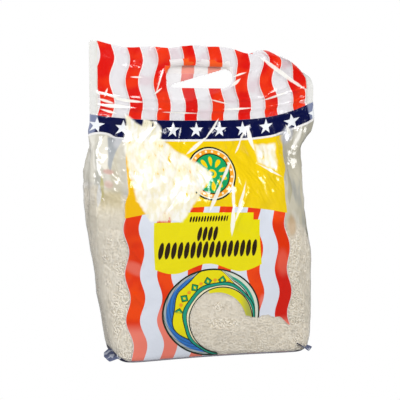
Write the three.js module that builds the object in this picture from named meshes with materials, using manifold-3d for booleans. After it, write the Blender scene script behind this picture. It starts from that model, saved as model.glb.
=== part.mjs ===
// A filled rice sack of clear film that stands on its base, in millimetres, +Z up.
// Its printed front faces -Y. The origin is the middle of the face that it rests on.
// From the floor up it is a soft full body, a shoulder that closes to a flat seam,
// and a flat double header with a hand hole, whose right corner has flopped over to the back.
import * as THREE from "three";
import { mergeVertices } from "three/addons/utils/BufferGeometryUtils.js";
import Module from "manifold-3d";

const wasm = await Module();
wasm.setup();

// Driving dimensions
const HEADER_WIDTH = 300; // the bag laid flat
const BODY_HEIGHT = 284; // floor to the seam under the header
const HEADER_HEIGHT = 97;
const HEADER_THICKNESS = 4; // two loose layers of film with air between them
const HEADER_CORNER = 7;
const FILLED_WIDTH = 280;
const FILLED_DEPTH = 100;
const BASE_RADIUS = 8; // how the film turns under at the floor

const POINTS_ROUND = 88;
const BODY_ROWS = 34;
const HEADER_ROWS = 14;
const BASE_ROWS = 4;

// The body's sections from the floor to the top of the header. Width and depth are shares of the
// filled size, square is the exponent of the rounded section, and pinch pulls in the middle of
// the long sides, as the folded bottom seam does.
const STATIONS = [
  { at: 0.0, width: 0.914, depth: 1.0, square: 5.6, x: 2.0, y: -1.0, twist: 6.0, pinch: 0.26 },
  { at: 0.035, width: 0.922, depth: 0.99, square: 5.0, x: 2.0, y: -1.0, twist: 6.0, pinch: 0.19 },
  { at: 0.158, width: 0.957, depth: 0.99, square: 3.9, x: 2.5, y: -1.0, twist: 6.0, pinch: 0.04 },
  { at: 0.387, width: 0.993, depth: 1.0, square: 3.3, x: 1.5, y: -1.5, twist: 5.0, pinch: 0.0 },
  { at: 0.599, width: 1.012, depth: 0.98, square: 3.1, x: -7.5, y: -2.0, twist: 2.5, pinch: 0.0 },
  { at: 0.746, width: 1.018, depth: 0.84, square: 2.8, x: -12.0, y: -2.0, twist: 1.0, pinch: 0.0 },
  { at: 0.863, width: 1.022, depth: 0.52, square: 2.5, x: -9.5, y: 0.0, twist: 0.0, pinch: 0.0 },
  { at: 0.937, width: 1.046, depth: 0.2, square: 2.6, x: -4.5, y: 1.0, twist: 0.0, pinch: 0.0 },
  { at: 1.0, width: 1.068, depth: 0.048, square: 5.0, x: 0.0, y: 0.0, twist: 0.0, pinch: 0.0 },
  { at: 1.342, width: 1.071, depth: 0.04, square: 8.0, x: 0.0, y: 0.0, twist: 0.0, pinch: 0.0 },
];
const STATION_VALUES = ["width", "depth", "square", "x", "y", "twist", "pinch"];

// The ends of the seam ride up, because the full body pulls the middle down
const LIFT = { left: 8, right: 22, from: 150, to: 283 };
// The header stands in a soft S, seen from above
const HEADER_WAVE = { height: 6, length: 300, phase: 0.5, from: 240, to: 300 };
const TOP_EDGE_WAVE = { height: 2.2, length: 88, from: 340, to: 381 };
// The top right corner rolls over a crease to the back
const CREASE = { startX: 66.8, startZ: 375, endX: 143, endZ: 330, radius: 17, angle: 140 };
// The sides tuck in where the gussets close under the seam
const TUCK = { depth: 13, width: 13, from: 168, full: 236, fade: 246, end: 274 };

// Long soft folds of the film: the start and end on a panel, u across it from its middle and
// z up it, with a half width and a height that is less than nothing for a valley
const FOLDS = [
  { panel: "front", from: [34, 278], to: [2, 196], width: 6, height: 2.6 },
  { panel: "front", from: [52, 280], to: [72, 214], width: 7, height: -3.2 },
  { panel: "front", from: [-52, 280], to: [-78, 200], width: 8, height: 2.8 },
  { panel: "front", from: [-20, 276], to: [-48, 208], width: 7, height: -2.4 },
  { panel: "front", from: [104, 280], to: [128, 196], width: 8, height: -3.6 },
  { panel: "front", from: [-112, 282], to: [-132, 186], width: 8, height: -3.4 },
  { panel: "front", from: [-98, 150], to: [-132, 60], width: 9, height: -2.0 },
  { panel: "front", from: [112, 120], to: [138, 52], width: 9, height: -2.2 },
  { panel: "back", from: [-60, 280], to: [-84, 206], width: 8, height: -3.0 },
  { panel: "back", from: [-8, 278], to: [10, 200], width: 7, height: 2.6 },
  { panel: "back", from: [60, 280], to: [86, 196], width: 8, height: -3.0 },
  { panel: "back", from: [104, 150], to: [132, 66], width: 9, height: -2.2 },
];

const HAND_HOLE = { width: 92, height: 27, end: 12.5, x: -8, z: 344.5, reach: 60 };
// Flat ends of the folded bottom seam that stick out on the floor at both sides
const EAR_HEIGHT = 4;
const EAR_CURL = 6;
const LEFT_EAR = [[-106, 34], [-124, 30], [-131, 8], [-127, -16], [-106, -22]];
const RIGHT_EAR = [[110, -42], [128, -42], [134, -18], [128, 8], [110, 18]];

// Values worked out from them
const TOTAL_HEIGHT = BODY_HEIGHT + HEADER_HEIGHT;
const radians = THREE.MathUtils.degToRad;

function smooth(value, start, end) {
  return THREE.MathUtils.smoothstep(value, start, end);
}

// Slopes at the stations that let the curves between them rise and fall without overshoot
function stationSlopes(name) {
  const rises = STATIONS.slice(1).map((station, index) => {
    const below = STATIONS[index];
    return (station[name] - below[name]) / (station.at - below.at);
  });
  return STATIONS.map((station, index) => {
    if (index === 0) return rises[0];
    if (index === STATIONS.length - 1) return rises[index - 1];
    const before = rises[index - 1];
    const after = rises[index];
    return before * after > 0 ? (2 * before * after) / (before + after) : 0;
  });
}

const SLOPES = Object.fromEntries(STATION_VALUES.map((name) => [name, stationSlopes(name)]));

function sectionAt(z) {
  const at = z / BODY_HEIGHT;
  let index = STATIONS.findIndex((station) => station.at > at) - 1;
  if (index < 0) index = STATIONS.length - 2;
  const low = STATIONS[index];
  const high = STATIONS[index + 1];
  const span = high.at - low.at;
  const t = Math.min((at - low.at) / span, 1);
  const section = {};
  for (const name of STATION_VALUES) {
    const startPull = (t ** 3 - 2 * t ** 2 + t) * span * SLOPES[name][index];
    const endPull = (t ** 3 - t ** 2) * span * SLOPES[name][index + 1];
    const blend = 3 * t ** 2 - 2 * t ** 3;
    section[name] = (1 - blend) * low[name] + blend * high[name] + startPull + endPull;
  }
  const turnedUnder = z < BASE_RADIUS
    ? BASE_RADIUS - Math.sqrt(BASE_RADIUS ** 2 - (BASE_RADIUS - z) ** 2)
    : 0;
  const intoCorner = Math.max(z - (TOTAL_HEIGHT - HEADER_CORNER), 0);
  const rounded = HEADER_CORNER - Math.sqrt(Math.max(HEADER_CORNER ** 2 - intoCorner ** 2, 0));
  section.halfWidth = (section.width * FILLED_WIDTH) / 2 - turnedUnder - rounded;
  section.halfDepth = Math.max((section.depth * FILLED_DEPTH) / 2 - turnedUnder, HEADER_THICKNESS / 2);
  return section;
}

function signedPower(value, power) {
  return Math.sign(value) * Math.abs(value) ** power;
}

// Points at even spacing round a section, from the middle of the left side over the front
function ringAt(z) {
  const section = sectionAt(z);
  const fine = 720;
  const outline = [];
  for (let step = 0; step <= fine; step += 1) {
    const turn = Math.PI + (2 * Math.PI * step) / fine;
    const x = section.halfWidth * signedPower(Math.cos(turn), 2 / section.square);
    const side = section.halfDepth * signedPower(Math.sin(turn), 2 / section.square);
    const middle = 1 - (x / section.halfWidth) ** 2;
    outline.push(new THREE.Vector2(x, side * (1 - section.pinch * middle)));
  }
  const lengths = [0];
  for (let step = 1; step <= fine; step += 1) {
    lengths.push(lengths[step - 1] + outline[step].distanceTo(outline[step - 1]));
  }
  const girth = lengths[fine];
  const ring = [];
  let segment = 0;
  for (let index = 0; index < POINTS_ROUND; index += 1) {
    const along = (girth * index) / POINTS_ROUND;
    while (lengths[segment + 1] < along) segment += 1;
    const share = (along - lengths[segment]) / (lengths[segment + 1] - lengths[segment]);
    const point = outline[segment].clone().lerp(outline[segment + 1], share);
    const edge = outline[segment + 1].clone().sub(outline[segment]).normalize();
    const front = index < POINTS_ROUND / 2;
    const u = front ? along - girth / 4 : girth * 0.75 - along;
    const fromSide = Math.min(along, girth - along, Math.abs(along - girth / 2));
    ring.push({ point, outward: new THREE.Vector2(edge.y, -edge.x), front, u, fromSide });
  }
  return { section, ring };
}

// How far the folds push the film out at one place of a panel
function foldHeight(front, u, z) {
  let height = 0;
  for (const fold of FOLDS) {
    if ((fold.panel === "front") !== front) continue;
    const start = new THREE.Vector2(...fold.from);
    const line = new THREE.Vector2(...fold.to).sub(start);
    const offset = new THREE.Vector2(u, z).sub(start);
    const along = offset.dot(line) / line.lengthSq();
    const across = offset.cross(line) / line.length();
    const taper = smooth(along, -0.12, 0.3) * (1 - smooth(along, 0.65, 1.15));
    height += fold.height * taper * Math.exp(-((across / fold.width) ** 2));
  }
  return height;
}

function rollCorner(point) {
  const crease = new THREE.Vector2(CREASE.endX - CREASE.startX, CREASE.endZ - CREASE.startZ);
  const across = new THREE.Vector2(-crease.y, crease.x).normalize();
  const beyond = (point.x - CREASE.startX) * across.x + (point.z - CREASE.startZ) * across.y;
  if (beyond <= 0) return point;
  const turn = Math.min(beyond / CREASE.radius, radians(CREASE.angle));
  const rest = Math.max(beyond - CREASE.radius * radians(CREASE.angle), 0);
  const radius = CREASE.radius - point.y;
  const out = radius * Math.sin(turn) + rest * Math.cos(turn);
  const back = CREASE.radius - radius * Math.cos(turn) + rest * Math.sin(turn);
  return new THREE.Vector3(
    point.x + across.x * (out - beyond),
    back,
    point.z + across.y * (out - beyond),
  );
}

// One point of a ring, moved to its place in the standing bag
function placed(sample, section, z) {
  const { point, outward, front, u, fromSide } = sample;
  const tucked = smooth(z, TUCK.from, TUCK.full) * (1 - smooth(z, TUCK.fade, TUCK.end));
  const tuck = TUCK.depth * tucked * Math.exp(-((fromSide / TUCK.width) ** 2));
  const fold = foldHeight(front, u, z) * smooth(z, 2, 20);
  const x = point.x - Math.sign(point.x) * tuck + outward.x * fold;
  const y = point.y + outward.y * fold;
  const twist = radians(section.twist);
  const standing = new THREE.Vector3(
    x * Math.cos(twist) + y * Math.sin(twist) + section.x,
    y * Math.cos(twist) - x * Math.sin(twist) + section.y,
    z,
  );
  const reach = (2 * standing.x) / HEADER_WIDTH;
  const lift = (reach < 0 ? LIFT.left : LIFT.right) * Math.abs(reach) ** 3;
  standing.z += lift * smooth(z, LIFT.from, LIFT.to);
  const wave = Math.sin((2 * Math.PI * standing.x) / HEADER_WAVE.length + HEADER_WAVE.phase);
  standing.y += HEADER_WAVE.height * wave * smooth(z, HEADER_WAVE.from, HEADER_WAVE.to);
  const edge = Math.sin((2 * Math.PI * standing.x) / TOP_EDGE_WAVE.length);
  standing.z += TOP_EDGE_WAVE.height * edge * smooth(z, TOP_EDGE_WAVE.from, TOP_EDGE_WAVE.to);
  return rollCorner(standing);
}

function rowHeights() {
  const heights = [];
  for (let row = 0; row < BASE_ROWS; row += 1) {
    heights.push(BASE_RADIUS * (1 - Math.cos((Math.PI * row) / (2 * BASE_ROWS))));
  }
  for (let row = 0; row < BODY_ROWS; row += 1) {
    heights.push(BASE_RADIUS + ((BODY_HEIGHT - BASE_RADIUS) * row) / BODY_ROWS);
  }
  for (let row = 0; row <= HEADER_ROWS; row += 1) {
    const share = Math.sin((Math.PI * row) / (2 * HEADER_ROWS));
    const even = row / HEADER_ROWS;
    heights.push(BODY_HEIGHT + HEADER_HEIGHT * (0.4 * share + 0.6 * even));
  }
  return heights;
}

function asSolid(geometry) {
  const bare = geometry.clone();
  bare.deleteAttribute("normal");
  bare.deleteAttribute("uv");
  const merged = mergeVertices(bare, 1e-4);
  return new wasm.Manifold(
    new wasm.Mesh({
      numProp: 3,
      vertProperties: new Float32Array(merged.attributes.position.array),
      triVerts: new Uint32Array(merged.index.array),
    }),
  );
}

function asGeometry(solid) {
  const mesh = solid.getMesh();
  const geometry = new THREE.BufferGeometry();
  geometry.setAttribute("position", new THREE.BufferAttribute(mesh.vertProperties, 3));
  geometry.setIndex(new THREE.BufferAttribute(mesh.triVerts, 1));
  const faceted = geometry.toNonIndexed();
  faceted.computeVertexNormals();
  return faceted;
}

// The body, the shoulder and the header as one closed skin of rings, with a flat base
function bagSkin() {
  const heights = rowHeights();
  const positions = [];
  for (const z of heights) {
    const { section, ring } = ringAt(z);
    for (const sample of ring) positions.push(...placed(sample, section, z).toArray());
  }
  const faces = [];
  for (let row = 0; row < heights.length - 1; row += 1) {
    for (let column = 0; column < POINTS_ROUND; column += 1) {
      const next = (column + 1) % POINTS_ROUND;
      const low = row * POINTS_ROUND;
      const high = low + POINTS_ROUND;
      faces.push(low + column, low + next, high + next);
      faces.push(low + column, high + next, high + column);
    }
  }
  const baseSection = sectionAt(0);
  const baseMiddle = positions.length / 3;
  positions.push(baseSection.x, baseSection.y, 0);
  const top = (heights.length - 1) * POINTS_ROUND;
  for (let column = 0; column < POINTS_ROUND; column += 1) {
    faces.push(baseMiddle, (column + 1) % POINTS_ROUND, column);
  }
  // The thin top edge is closed straight across, front to back
  for (let step = 0; step < POINTS_ROUND / 2; step += 1) {
    const front = top + step;
    const back = top + ((POINTS_ROUND - step) % POINTS_ROUND);
    const nextBack = top + POINTS_ROUND - step - 1;
    if (step > 0) faces.push(front, front + 1, back);
    if (step < POINTS_ROUND / 2 - 1) faces.push(back, front + 1, nextBack);
  }
  const geometry = new THREE.BufferGeometry();
  geometry.setAttribute("position", new THREE.Float32BufferAttribute(positions, 3));
  geometry.setIndex(faces);
  return geometry;
}

function handHoleCutter() {
  const half = HAND_HOLE.width / 2 - HAND_HOLE.end;
  const tall = HAND_HOLE.height / 2 - HAND_HOLE.end;
  const outline = new THREE.Shape();
  outline.absarc(half, tall, HAND_HOLE.end, 0, Math.PI / 2);
  outline.absarc(-half, tall, HAND_HOLE.end, Math.PI / 2, Math.PI);
  outline.absarc(-half, -tall, HAND_HOLE.end, Math.PI, 1.5 * Math.PI);
  outline.absarc(half, -tall, HAND_HOLE.end, 1.5 * Math.PI, 2 * Math.PI);
  const cutter = new THREE.ExtrudeGeometry(outline, {
    depth: HAND_HOLE.reach,
    bevelEnabled: false,
    curveSegments: 8,
  });
  cutter.rotateX(Math.PI / 2);
  cutter.translate(HAND_HOLE.x, HAND_HOLE.reach / 2, HAND_HOLE.z);
  return cutter;
}

function ear(outline) {
  const shape = new THREE.Shape(outline.map(([x, y]) => new THREE.Vector2(x, y)));
  const geometry = new THREE.ExtrudeGeometry(shape, { depth: EAR_HEIGHT, bevelEnabled: false });
  const position = geometry.attributes.position;
  const reaches = outline.map(([x]) => Math.abs(x));
  const inner = Math.min(...reaches);
  const outer = Math.max(...reaches);
  for (let index = 0; index < position.count; index += 1) {
    const out = (Math.abs(position.getX(index)) - inner) / (outer - inner);
    position.setZ(index, position.getZ(index) + EAR_CURL * out ** 2);
  }
  return geometry;
}

function makeBag() {
  const solid = asSolid(bagSkin())
    .add(asSolid(ear(LEFT_EAR)))
    .add(asSolid(ear(RIGHT_EAR)))
    .subtract(asSolid(handHoleCutter()));
  const film = new THREE.MeshStandardMaterial({ color: 0xd9d3c4, roughness: 0.3, metalness: 0 });
  const bag = new THREE.Mesh(asGeometry(solid), film);
  bag.name = "bag";
  return bag;
}

const riceSack = new THREE.Group();
riceSack.add(makeBag());

export default riceSack;
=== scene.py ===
# %% [markdown]
# # A clear rice sack with a printed front
#
# The object is a bag of clear film, filled with about 5 kg of rice and standing on its folded
# bottom. Above the body the two walls of the bag are sealed together, and go on upwards as a flat
# double header with a hand hole. This lesson first works out the shape that the filling gives the
# film, then lays the flat film into that shape, fills in the rice, adds the print and the finish,
# and at last sets up the light and the camera.
#
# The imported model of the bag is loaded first. It is the frame that every piece here has to fit.

# %% Load the frame and keep its size
import math
import random

import bpy
import bmesh
import numpy as np
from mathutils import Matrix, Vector


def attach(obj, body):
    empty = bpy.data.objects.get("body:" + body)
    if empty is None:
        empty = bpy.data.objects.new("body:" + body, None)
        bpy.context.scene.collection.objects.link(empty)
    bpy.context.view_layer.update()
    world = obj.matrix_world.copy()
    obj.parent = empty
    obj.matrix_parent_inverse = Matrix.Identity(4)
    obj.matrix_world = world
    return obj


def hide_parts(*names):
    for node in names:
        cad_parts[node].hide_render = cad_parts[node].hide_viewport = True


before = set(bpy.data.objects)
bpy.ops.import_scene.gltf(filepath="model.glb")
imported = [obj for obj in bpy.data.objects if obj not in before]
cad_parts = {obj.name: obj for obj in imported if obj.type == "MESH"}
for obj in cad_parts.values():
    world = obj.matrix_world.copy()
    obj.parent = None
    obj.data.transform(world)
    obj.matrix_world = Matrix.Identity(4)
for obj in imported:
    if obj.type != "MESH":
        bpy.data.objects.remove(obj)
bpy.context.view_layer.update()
bpy.ops.object.select_all(action="DESELECT")

# %% [markdown]
# ## Sizes
#
# All sizes are in millimetres, as a bag maker writes them, and turn into metres only when a mesh
# is made. The filled body is described by a few level sections. Each one is a rounded rectangle
# of its own width, depth and squareness, a little off centre and a little twisted, because rice
# settles unevenly. Smooth curves between the sections give every height in between.

# %% Named sizes of the bag
MM = 0.001
HEADER_WIDTH = 300.0
BODY_HEIGHT = 284.0
HEADER_HEIGHT = 97.0
TOTAL_HEIGHT = BODY_HEIGHT + HEADER_HEIGHT
HEADER_THICKNESS = 4.0
HEADER_CORNER = 7.0
FILLED_WIDTH = 280.0
FILLED_DEPTH = 100.0
BASE_RADIUS = 8.0
print("the bag is", TOTAL_HEIGHT, "mm high and", HEADER_WIDTH, "mm wide laid flat")

# %% Level sections of the filled body, by share of its height
SECTION_WORDS = ("width", "depth", "square", "x", "y", "twist", "pinch")
STATIONS = {
    0.0: (0.914, 1.0, 5.6, 2.0, -1.0, 6.0, 0.26),
    0.035: (0.922, 0.99, 5.0, 2.0, -1.0, 6.0, 0.19),
    0.158: (0.957, 0.99, 3.9, 2.5, -1.0, 6.0, 0.04),
    0.387: (0.993, 1.0, 3.3, 1.5, -1.5, 5.0, 0.0),
    0.599: (1.012, 0.98, 3.1, -7.5, -2.0, 2.5, 0.0),
    0.746: (1.018, 0.84, 2.8, -12.0, -2.0, 1.0, 0.0),
    0.863: (1.022, 0.52, 2.5, -9.5, 0.0, 0.0, 0.0),
    0.937: (1.046, 0.2, 2.6, -4.5, 1.0, 0.0, 0.0),
    1.0: (1.068, 0.048, 5.0, 0.0, 0.0, 0.0, 0.0),
    1.342: (1.071, 0.04, 8.0, 0.0, 0.0, 0.0, 0.0),
}

# %% Lifted ends of the seam, wavy header, rolled corner and cut edge
LIFT_LEFT, LIFT_RIGHT, LIFT_FROM, LIFT_TO = 8.0, 22.0, 150.0, 283.0
HEADER_WAVE, HEADER_WAVE_LENGTH, HEADER_WAVE_PHASE = 6.0, 300.0, 0.5
TOP_WAVE, TOP_WAVE_LENGTH = 2.2, 88.0
CREASE_START, CREASE_END = np.array([66.8, 375.0]), np.array([143.0, 330.0])
CREASE_RADIUS, CREASE_ANGLE = 17.0, math.radians(140)
CREASE_BULGE, CREASE_BULGE_AT, CREASE_BULGE_HALF = 5.0, 46.0, 26.0
# The top edge is cut by hand, and dips and rises a little: across, and how much higher
TOP_EDGE = (
    (-150, -3), (-120, -2.5), (-107, -3), (-80, -3.5), (-60, -4), (-48, -3), (-32, 2.5), (-20, 4.5),
    (-8, 4), (5, 0.5), (20, -0.5), (40, -1.5), (54, -4.5), (63, -5.5), (74, -0.5), (90, 0), (150, 0),
)

# %% Loose sides and long soft folds
TUCK_DEPTH, TUCK_WIDTH = 13.0, 13.0
# How much further out the loose sides stand than the even form: height, left, right
SIDES_OUT = (
    (0, -9, -8), (8, -6, -3), (18, -3.5, 0), (30, -2.5, -1), (62, 0, -2), (77, 2.5, -3), (100, 2.5, -4),
    (130, 4, -3.5), (152, 2.5, -4.5), (182, 2, -4), (205, 2.5, -1.5), (227, 6, 1), (242, 8.5, 5),
    (257, 8.5, 9), (266, 5, 13), (276, 1.5, 14), (288, 0, 9), (302, 0, 2), (315, 0, 0), (400, 0, 0),
)
# Long soft folds: panel, start (across, up), end, half width, height
FOLDS = (
    ("front", (34, 278), (2, 196), 6, 2.6),
    ("front", (52, 280), (72, 214), 7, -3.2),
    ("front", (-52, 280), (-78, 200), 8, 2.8),
    ("front", (-20, 276), (-48, 208), 7, -2.4),
    ("front", (104, 280), (128, 196), 8, -3.6),
    ("front", (-112, 282), (-132, 186), 8, -3.4),
    ("front", (-98, 150), (-132, 60), 9, -2.0),
    ("front", (112, 120), (138, 52), 9, -2.2),
    ("back", (-60, 280), (-84, 206), 8, -3.0),
    ("back", (-8, 278), (10, 200), 7, 2.6),
    ("back", (60, 280), (86, 196), 8, -3.0),
    ("back", (104, 150), (132, 66), 9, -2.2),
)
print(len(FOLDS), "long folds")


# %% A smooth step
def ease(value, start, end):
    """Rises smoothly from 0 at start to 1 at end."""
    share = np.clip((value - start) / (end - start), 0.0, 1.0)
    return share * share * (3 - 2 * share)


# %% [markdown]
# ## The shape that the filling gives the film
#
# `section_at` reads one level section from the table, `ring_at` walks round it and puts points at
# even spacing, and `stand` carries flat sheets of points to their place in the standing bag: the
# folds, the tucked sides, the twist, the lifted ends of the seam, the wavy header, and the corner
# that has rolled over to the back. The same steps make the film and, a little further in, the rice.


# %% Level sections
def section_at(height):
    at = np.array(list(STATIONS))
    table = np.array(list(STATIONS.values()))
    rises = np.diff(table, axis=0) / np.diff(at)[:, None]
    slopes = np.vstack([rises[:1], np.zeros_like(rises[1:]), rises[-1:]])
    same_way = rises[:-1] * rises[1:] > 0
    both = np.where(same_way, rises[:-1] + rises[1:], 1.0)
    slopes[1:-1] = np.where(same_way, 2 * rises[:-1] * rises[1:] / both, 0.0)
    share = height / BODY_HEIGHT
    low = int(np.clip(np.searchsorted(at, share, side="right") - 1, 0, len(at) - 2))
    span = at[low + 1] - at[low]
    t = min((share - at[low]) / span, 1.0)
    blend = 3 * t**2 - 2 * t**3
    values = (1 - blend) * table[low] + blend * table[low + 1]
    values += (t**3 - 2 * t**2 + t) * span * slopes[low] + (t**3 - t**2) * span * slopes[low + 1]
    section = dict(zip(SECTION_WORDS, values))
    under = 0.0
    if height < BASE_RADIUS:
        under = BASE_RADIUS - math.sqrt(BASE_RADIUS**2 - (BASE_RADIUS - height) ** 2)
    into_corner = max(height - (TOTAL_HEIGHT - HEADER_CORNER), 0.0)
    rounded = HEADER_CORNER - math.sqrt(max(HEADER_CORNER**2 - into_corner**2, 0.0))
    section["half_width"] = section["width"] * FILLED_WIDTH / 2 - under - rounded
    section["half_depth"] = max(section["depth"] * FILLED_DEPTH / 2 - under, HEADER_THICKNESS / 2)
    return section


# %% Points round one section
def signed_power(value, power):
    return np.sign(value) * np.abs(value) ** power


def ring_at(height, points, inset=0.0):
    """Points at even spacing round one section, and how they lie on the panels."""
    section = section_at(height)
    half_width = section["half_width"] - inset
    half_depth = max(section["half_depth"] - inset, 0.05)
    turn = np.linspace(math.pi, 3 * math.pi, 1441)
    x = half_width * signed_power(np.cos(turn), 2 / section["square"])
    y = half_depth * signed_power(np.sin(turn), 2 / section["square"])
    y *= 1 - section["pinch"] * (1 - (x / half_width) ** 2)
    along = np.concatenate([[0.0], np.cumsum(np.hypot(np.diff(x), np.diff(y)))])
    girth = along[-1]
    at = girth * np.arange(points) / points
    px, py = np.interp(at, along, x), np.interp(at, along, y)
    dx, dy = np.gradient(np.append(px, px[0]))[:-1], np.gradient(np.append(py, py[0]))[:-1]
    dx[0], dy[0] = px[1] - px[-1], py[1] - py[-1]
    length = np.maximum(np.hypot(dx, dy), 1e-6)
    front = np.arange(points) <= points // 2
    u = np.where(front, at - girth / 4, girth * 0.75 - at)
    from_side = np.minimum.reduce([at, girth - at, np.abs(at - girth / 2)])
    return section, np.stack([px, py], 1), np.stack([dy, -dx], 1) / length[:, None], u, from_side


# %% Long soft folds
def fold_height(front, u, v):
    """How far the long soft folds push the film out."""
    height = np.zeros_like(u)
    for panel, start, end, width, tall in FOLDS:
        line = np.subtract(end, start).astype(float)
        along = ((u - start[0]) * line[0] + (v - start[1]) * line[1]) / line.dot(line)
        across = ((u - start[0]) * line[1] - (v - start[1]) * line[0]) / np.hypot(*line)
        taper = ease(along, -0.12, 0.3) * (1 - ease(along, 0.65, 1.15))
        here = front if panel == "front" else ~front
        height += here * tall * taper * np.exp(-((across / width) ** 2))
    return height * ease(v, 2, 20)


# %% From flat film to the standing bag
def roll_corner(x, y, z):
    """Rolls what lies beyond the diagonal crease over to the back."""
    crease = CREASE_END - CREASE_START
    across = np.array([-crease[1], crease[0]]) / np.hypot(*crease)
    beyond = (x - CREASE_START[0]) * across[0] + (z - CREASE_START[1]) * across[1]
    along = ((x - CREASE_START[0]) * crease[0] + (z - CREASE_START[1]) * crease[1]) / np.hypot(*crease)
    beyond = beyond - CREASE_BULGE * np.exp(-(((along - CREASE_BULGE_AT) / CREASE_BULGE_HALF) ** 2))
    turn = np.clip(beyond / CREASE_RADIUS, 0, CREASE_ANGLE)
    rest = np.maximum(beyond - CREASE_RADIUS * CREASE_ANGLE, 0)
    radius = CREASE_RADIUS - y
    out = radius * np.sin(turn) + rest * np.cos(turn)
    back = CREASE_RADIUS - radius * np.cos(turn) + rest * np.sin(turn)
    rolled = beyond > 0
    x = np.where(rolled, x + across[0] * (out - beyond), x)
    z = np.where(rolled, z + across[1] * (out - beyond), z)
    return x, np.where(rolled, back, y), z


SIDE_HEIGHTS, LEFT_OUT, RIGHT_OUT = zip(*SIDES_OUT)
EDGE_PLACES, EDGE_RISES = zip(*TOP_EDGE)


def stand(section, x, y, v):
    """Twists a ring, moves it to its place, and bends seam and header as the full bag does."""
    twist = math.radians(section["twist"])
    px = x * math.cos(twist) + y * math.sin(twist) + section["x"]
    py = y * math.cos(twist) - x * math.sin(twist) + section["y"]
    reach = 2 * px / HEADER_WIDTH
    lift = np.where(reach < 0, LIFT_LEFT, LIFT_RIGHT) * np.abs(reach) ** 3
    pz = v + lift * ease(v, LIFT_FROM, LIFT_TO)
    wave = np.sin(2 * math.pi * px / HEADER_WAVE_LENGTH + HEADER_WAVE_PHASE)
    py = py + HEADER_WAVE * wave * ease(v, 240, 300)
    left, right = np.interp(pz, SIDE_HEIGHTS, LEFT_OUT), np.interp(pz, SIDE_HEIGHTS, RIGHT_OUT)
    side_out = np.where(px < 0, -left, right)
    px = px + side_out * ease(np.abs(px), 95, 138)
    top = TOP_WAVE * np.sin(2 * math.pi * px / TOP_WAVE_LENGTH)
    top = top + np.interp(px, EDGE_PLACES, EDGE_RISES)
    pz = pz + top * ease(v, 340, TOTAL_HEIGHT)
    return roll_corner(px, py, pz)


# %% [markdown]
# ## Wrinkles
#
# Thin film does not wave softly. It breaks into flat facets with sharp ridges between them, and
# those facets are what makes a bag glitter. A triangle wave has just that form: flat slopes and
# sharp turns. Nine of them in different directions, each bent a little and each strong in some
# places and absent in others, add up to crumpled film. Single creases are laid on top where the
# film really folds: down from the seam, across the header, and out from the corners.

# %% Crumple: sharp waves in many directions
CRUMPLE_WAVES = 9
crumple_dice = random.Random(7)


def triangle(value):
    return np.abs((value % 1.0) * 2 - 1) * 2 - 1


def make_crumple():
    waves = []
    for index in range(CRUMPLE_WAVES):
        angle = crumple_dice.uniform(-0.55, 0.55) + (math.pi / 2 if index % 3 == 2 else 0.0)
        length = crumple_dice.uniform(13, 42)
        waves.append((angle, length, [crumple_dice.uniform(0, 10) for _ in range(5)]))
    return waves


CRUMPLE = make_crumple()
print("crumple wave lengths in mm:", [round(length) for _, length, _ in CRUMPLE])


# %% How high the crumple and the finer crinkles stand
def crinkle_height(x, y, z):
    """Finer crinkles, a few millimetres across, in the loose film."""
    across = x + 0.8 * y
    height = triangle(across / 7.3 + 0.5 * np.sin(z / 11) + 0.3 * np.sin(z / 4.1 + across / 9))
    height += 0.8 * triangle(across / 11.9 - z / 31 + 0.4 * np.sin(z / 17 + 1))
    height += 0.7 * triangle(z / 9.7 + 0.6 * np.sin(across / 13) + across / 40)
    height *= 0.45 + 0.55 * np.sin(across / 19 + 0.7 * np.sin(z / 23)) * np.sin(z / 16 + across / 51)
    return height / 2.5


def crumple_height(x, y, z):
    """Height of crumpled film, about -1 to 1, from the place on the smooth bag."""
    height = np.zeros_like(x)
    across = x + 0.8 * y
    for angle, length, seeds in CRUMPLE:
        along = across * math.cos(angle) + z * math.sin(angle)
        aside = -across * math.sin(angle) + z * math.cos(angle)
        bend = 0.35 * np.sin(aside / 23 + seeds[0]) + 0.2 * np.sin(aside / 9 + seeds[1])
        gate = np.sin(aside / 31 + seeds[2]) * np.sin(along / 47 + seeds[3]) + 0.35
        height += triangle(along / length + bend + seeds[4]) * np.clip(gate, 0, 1) * length / 30
    return height / 2.2


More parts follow.
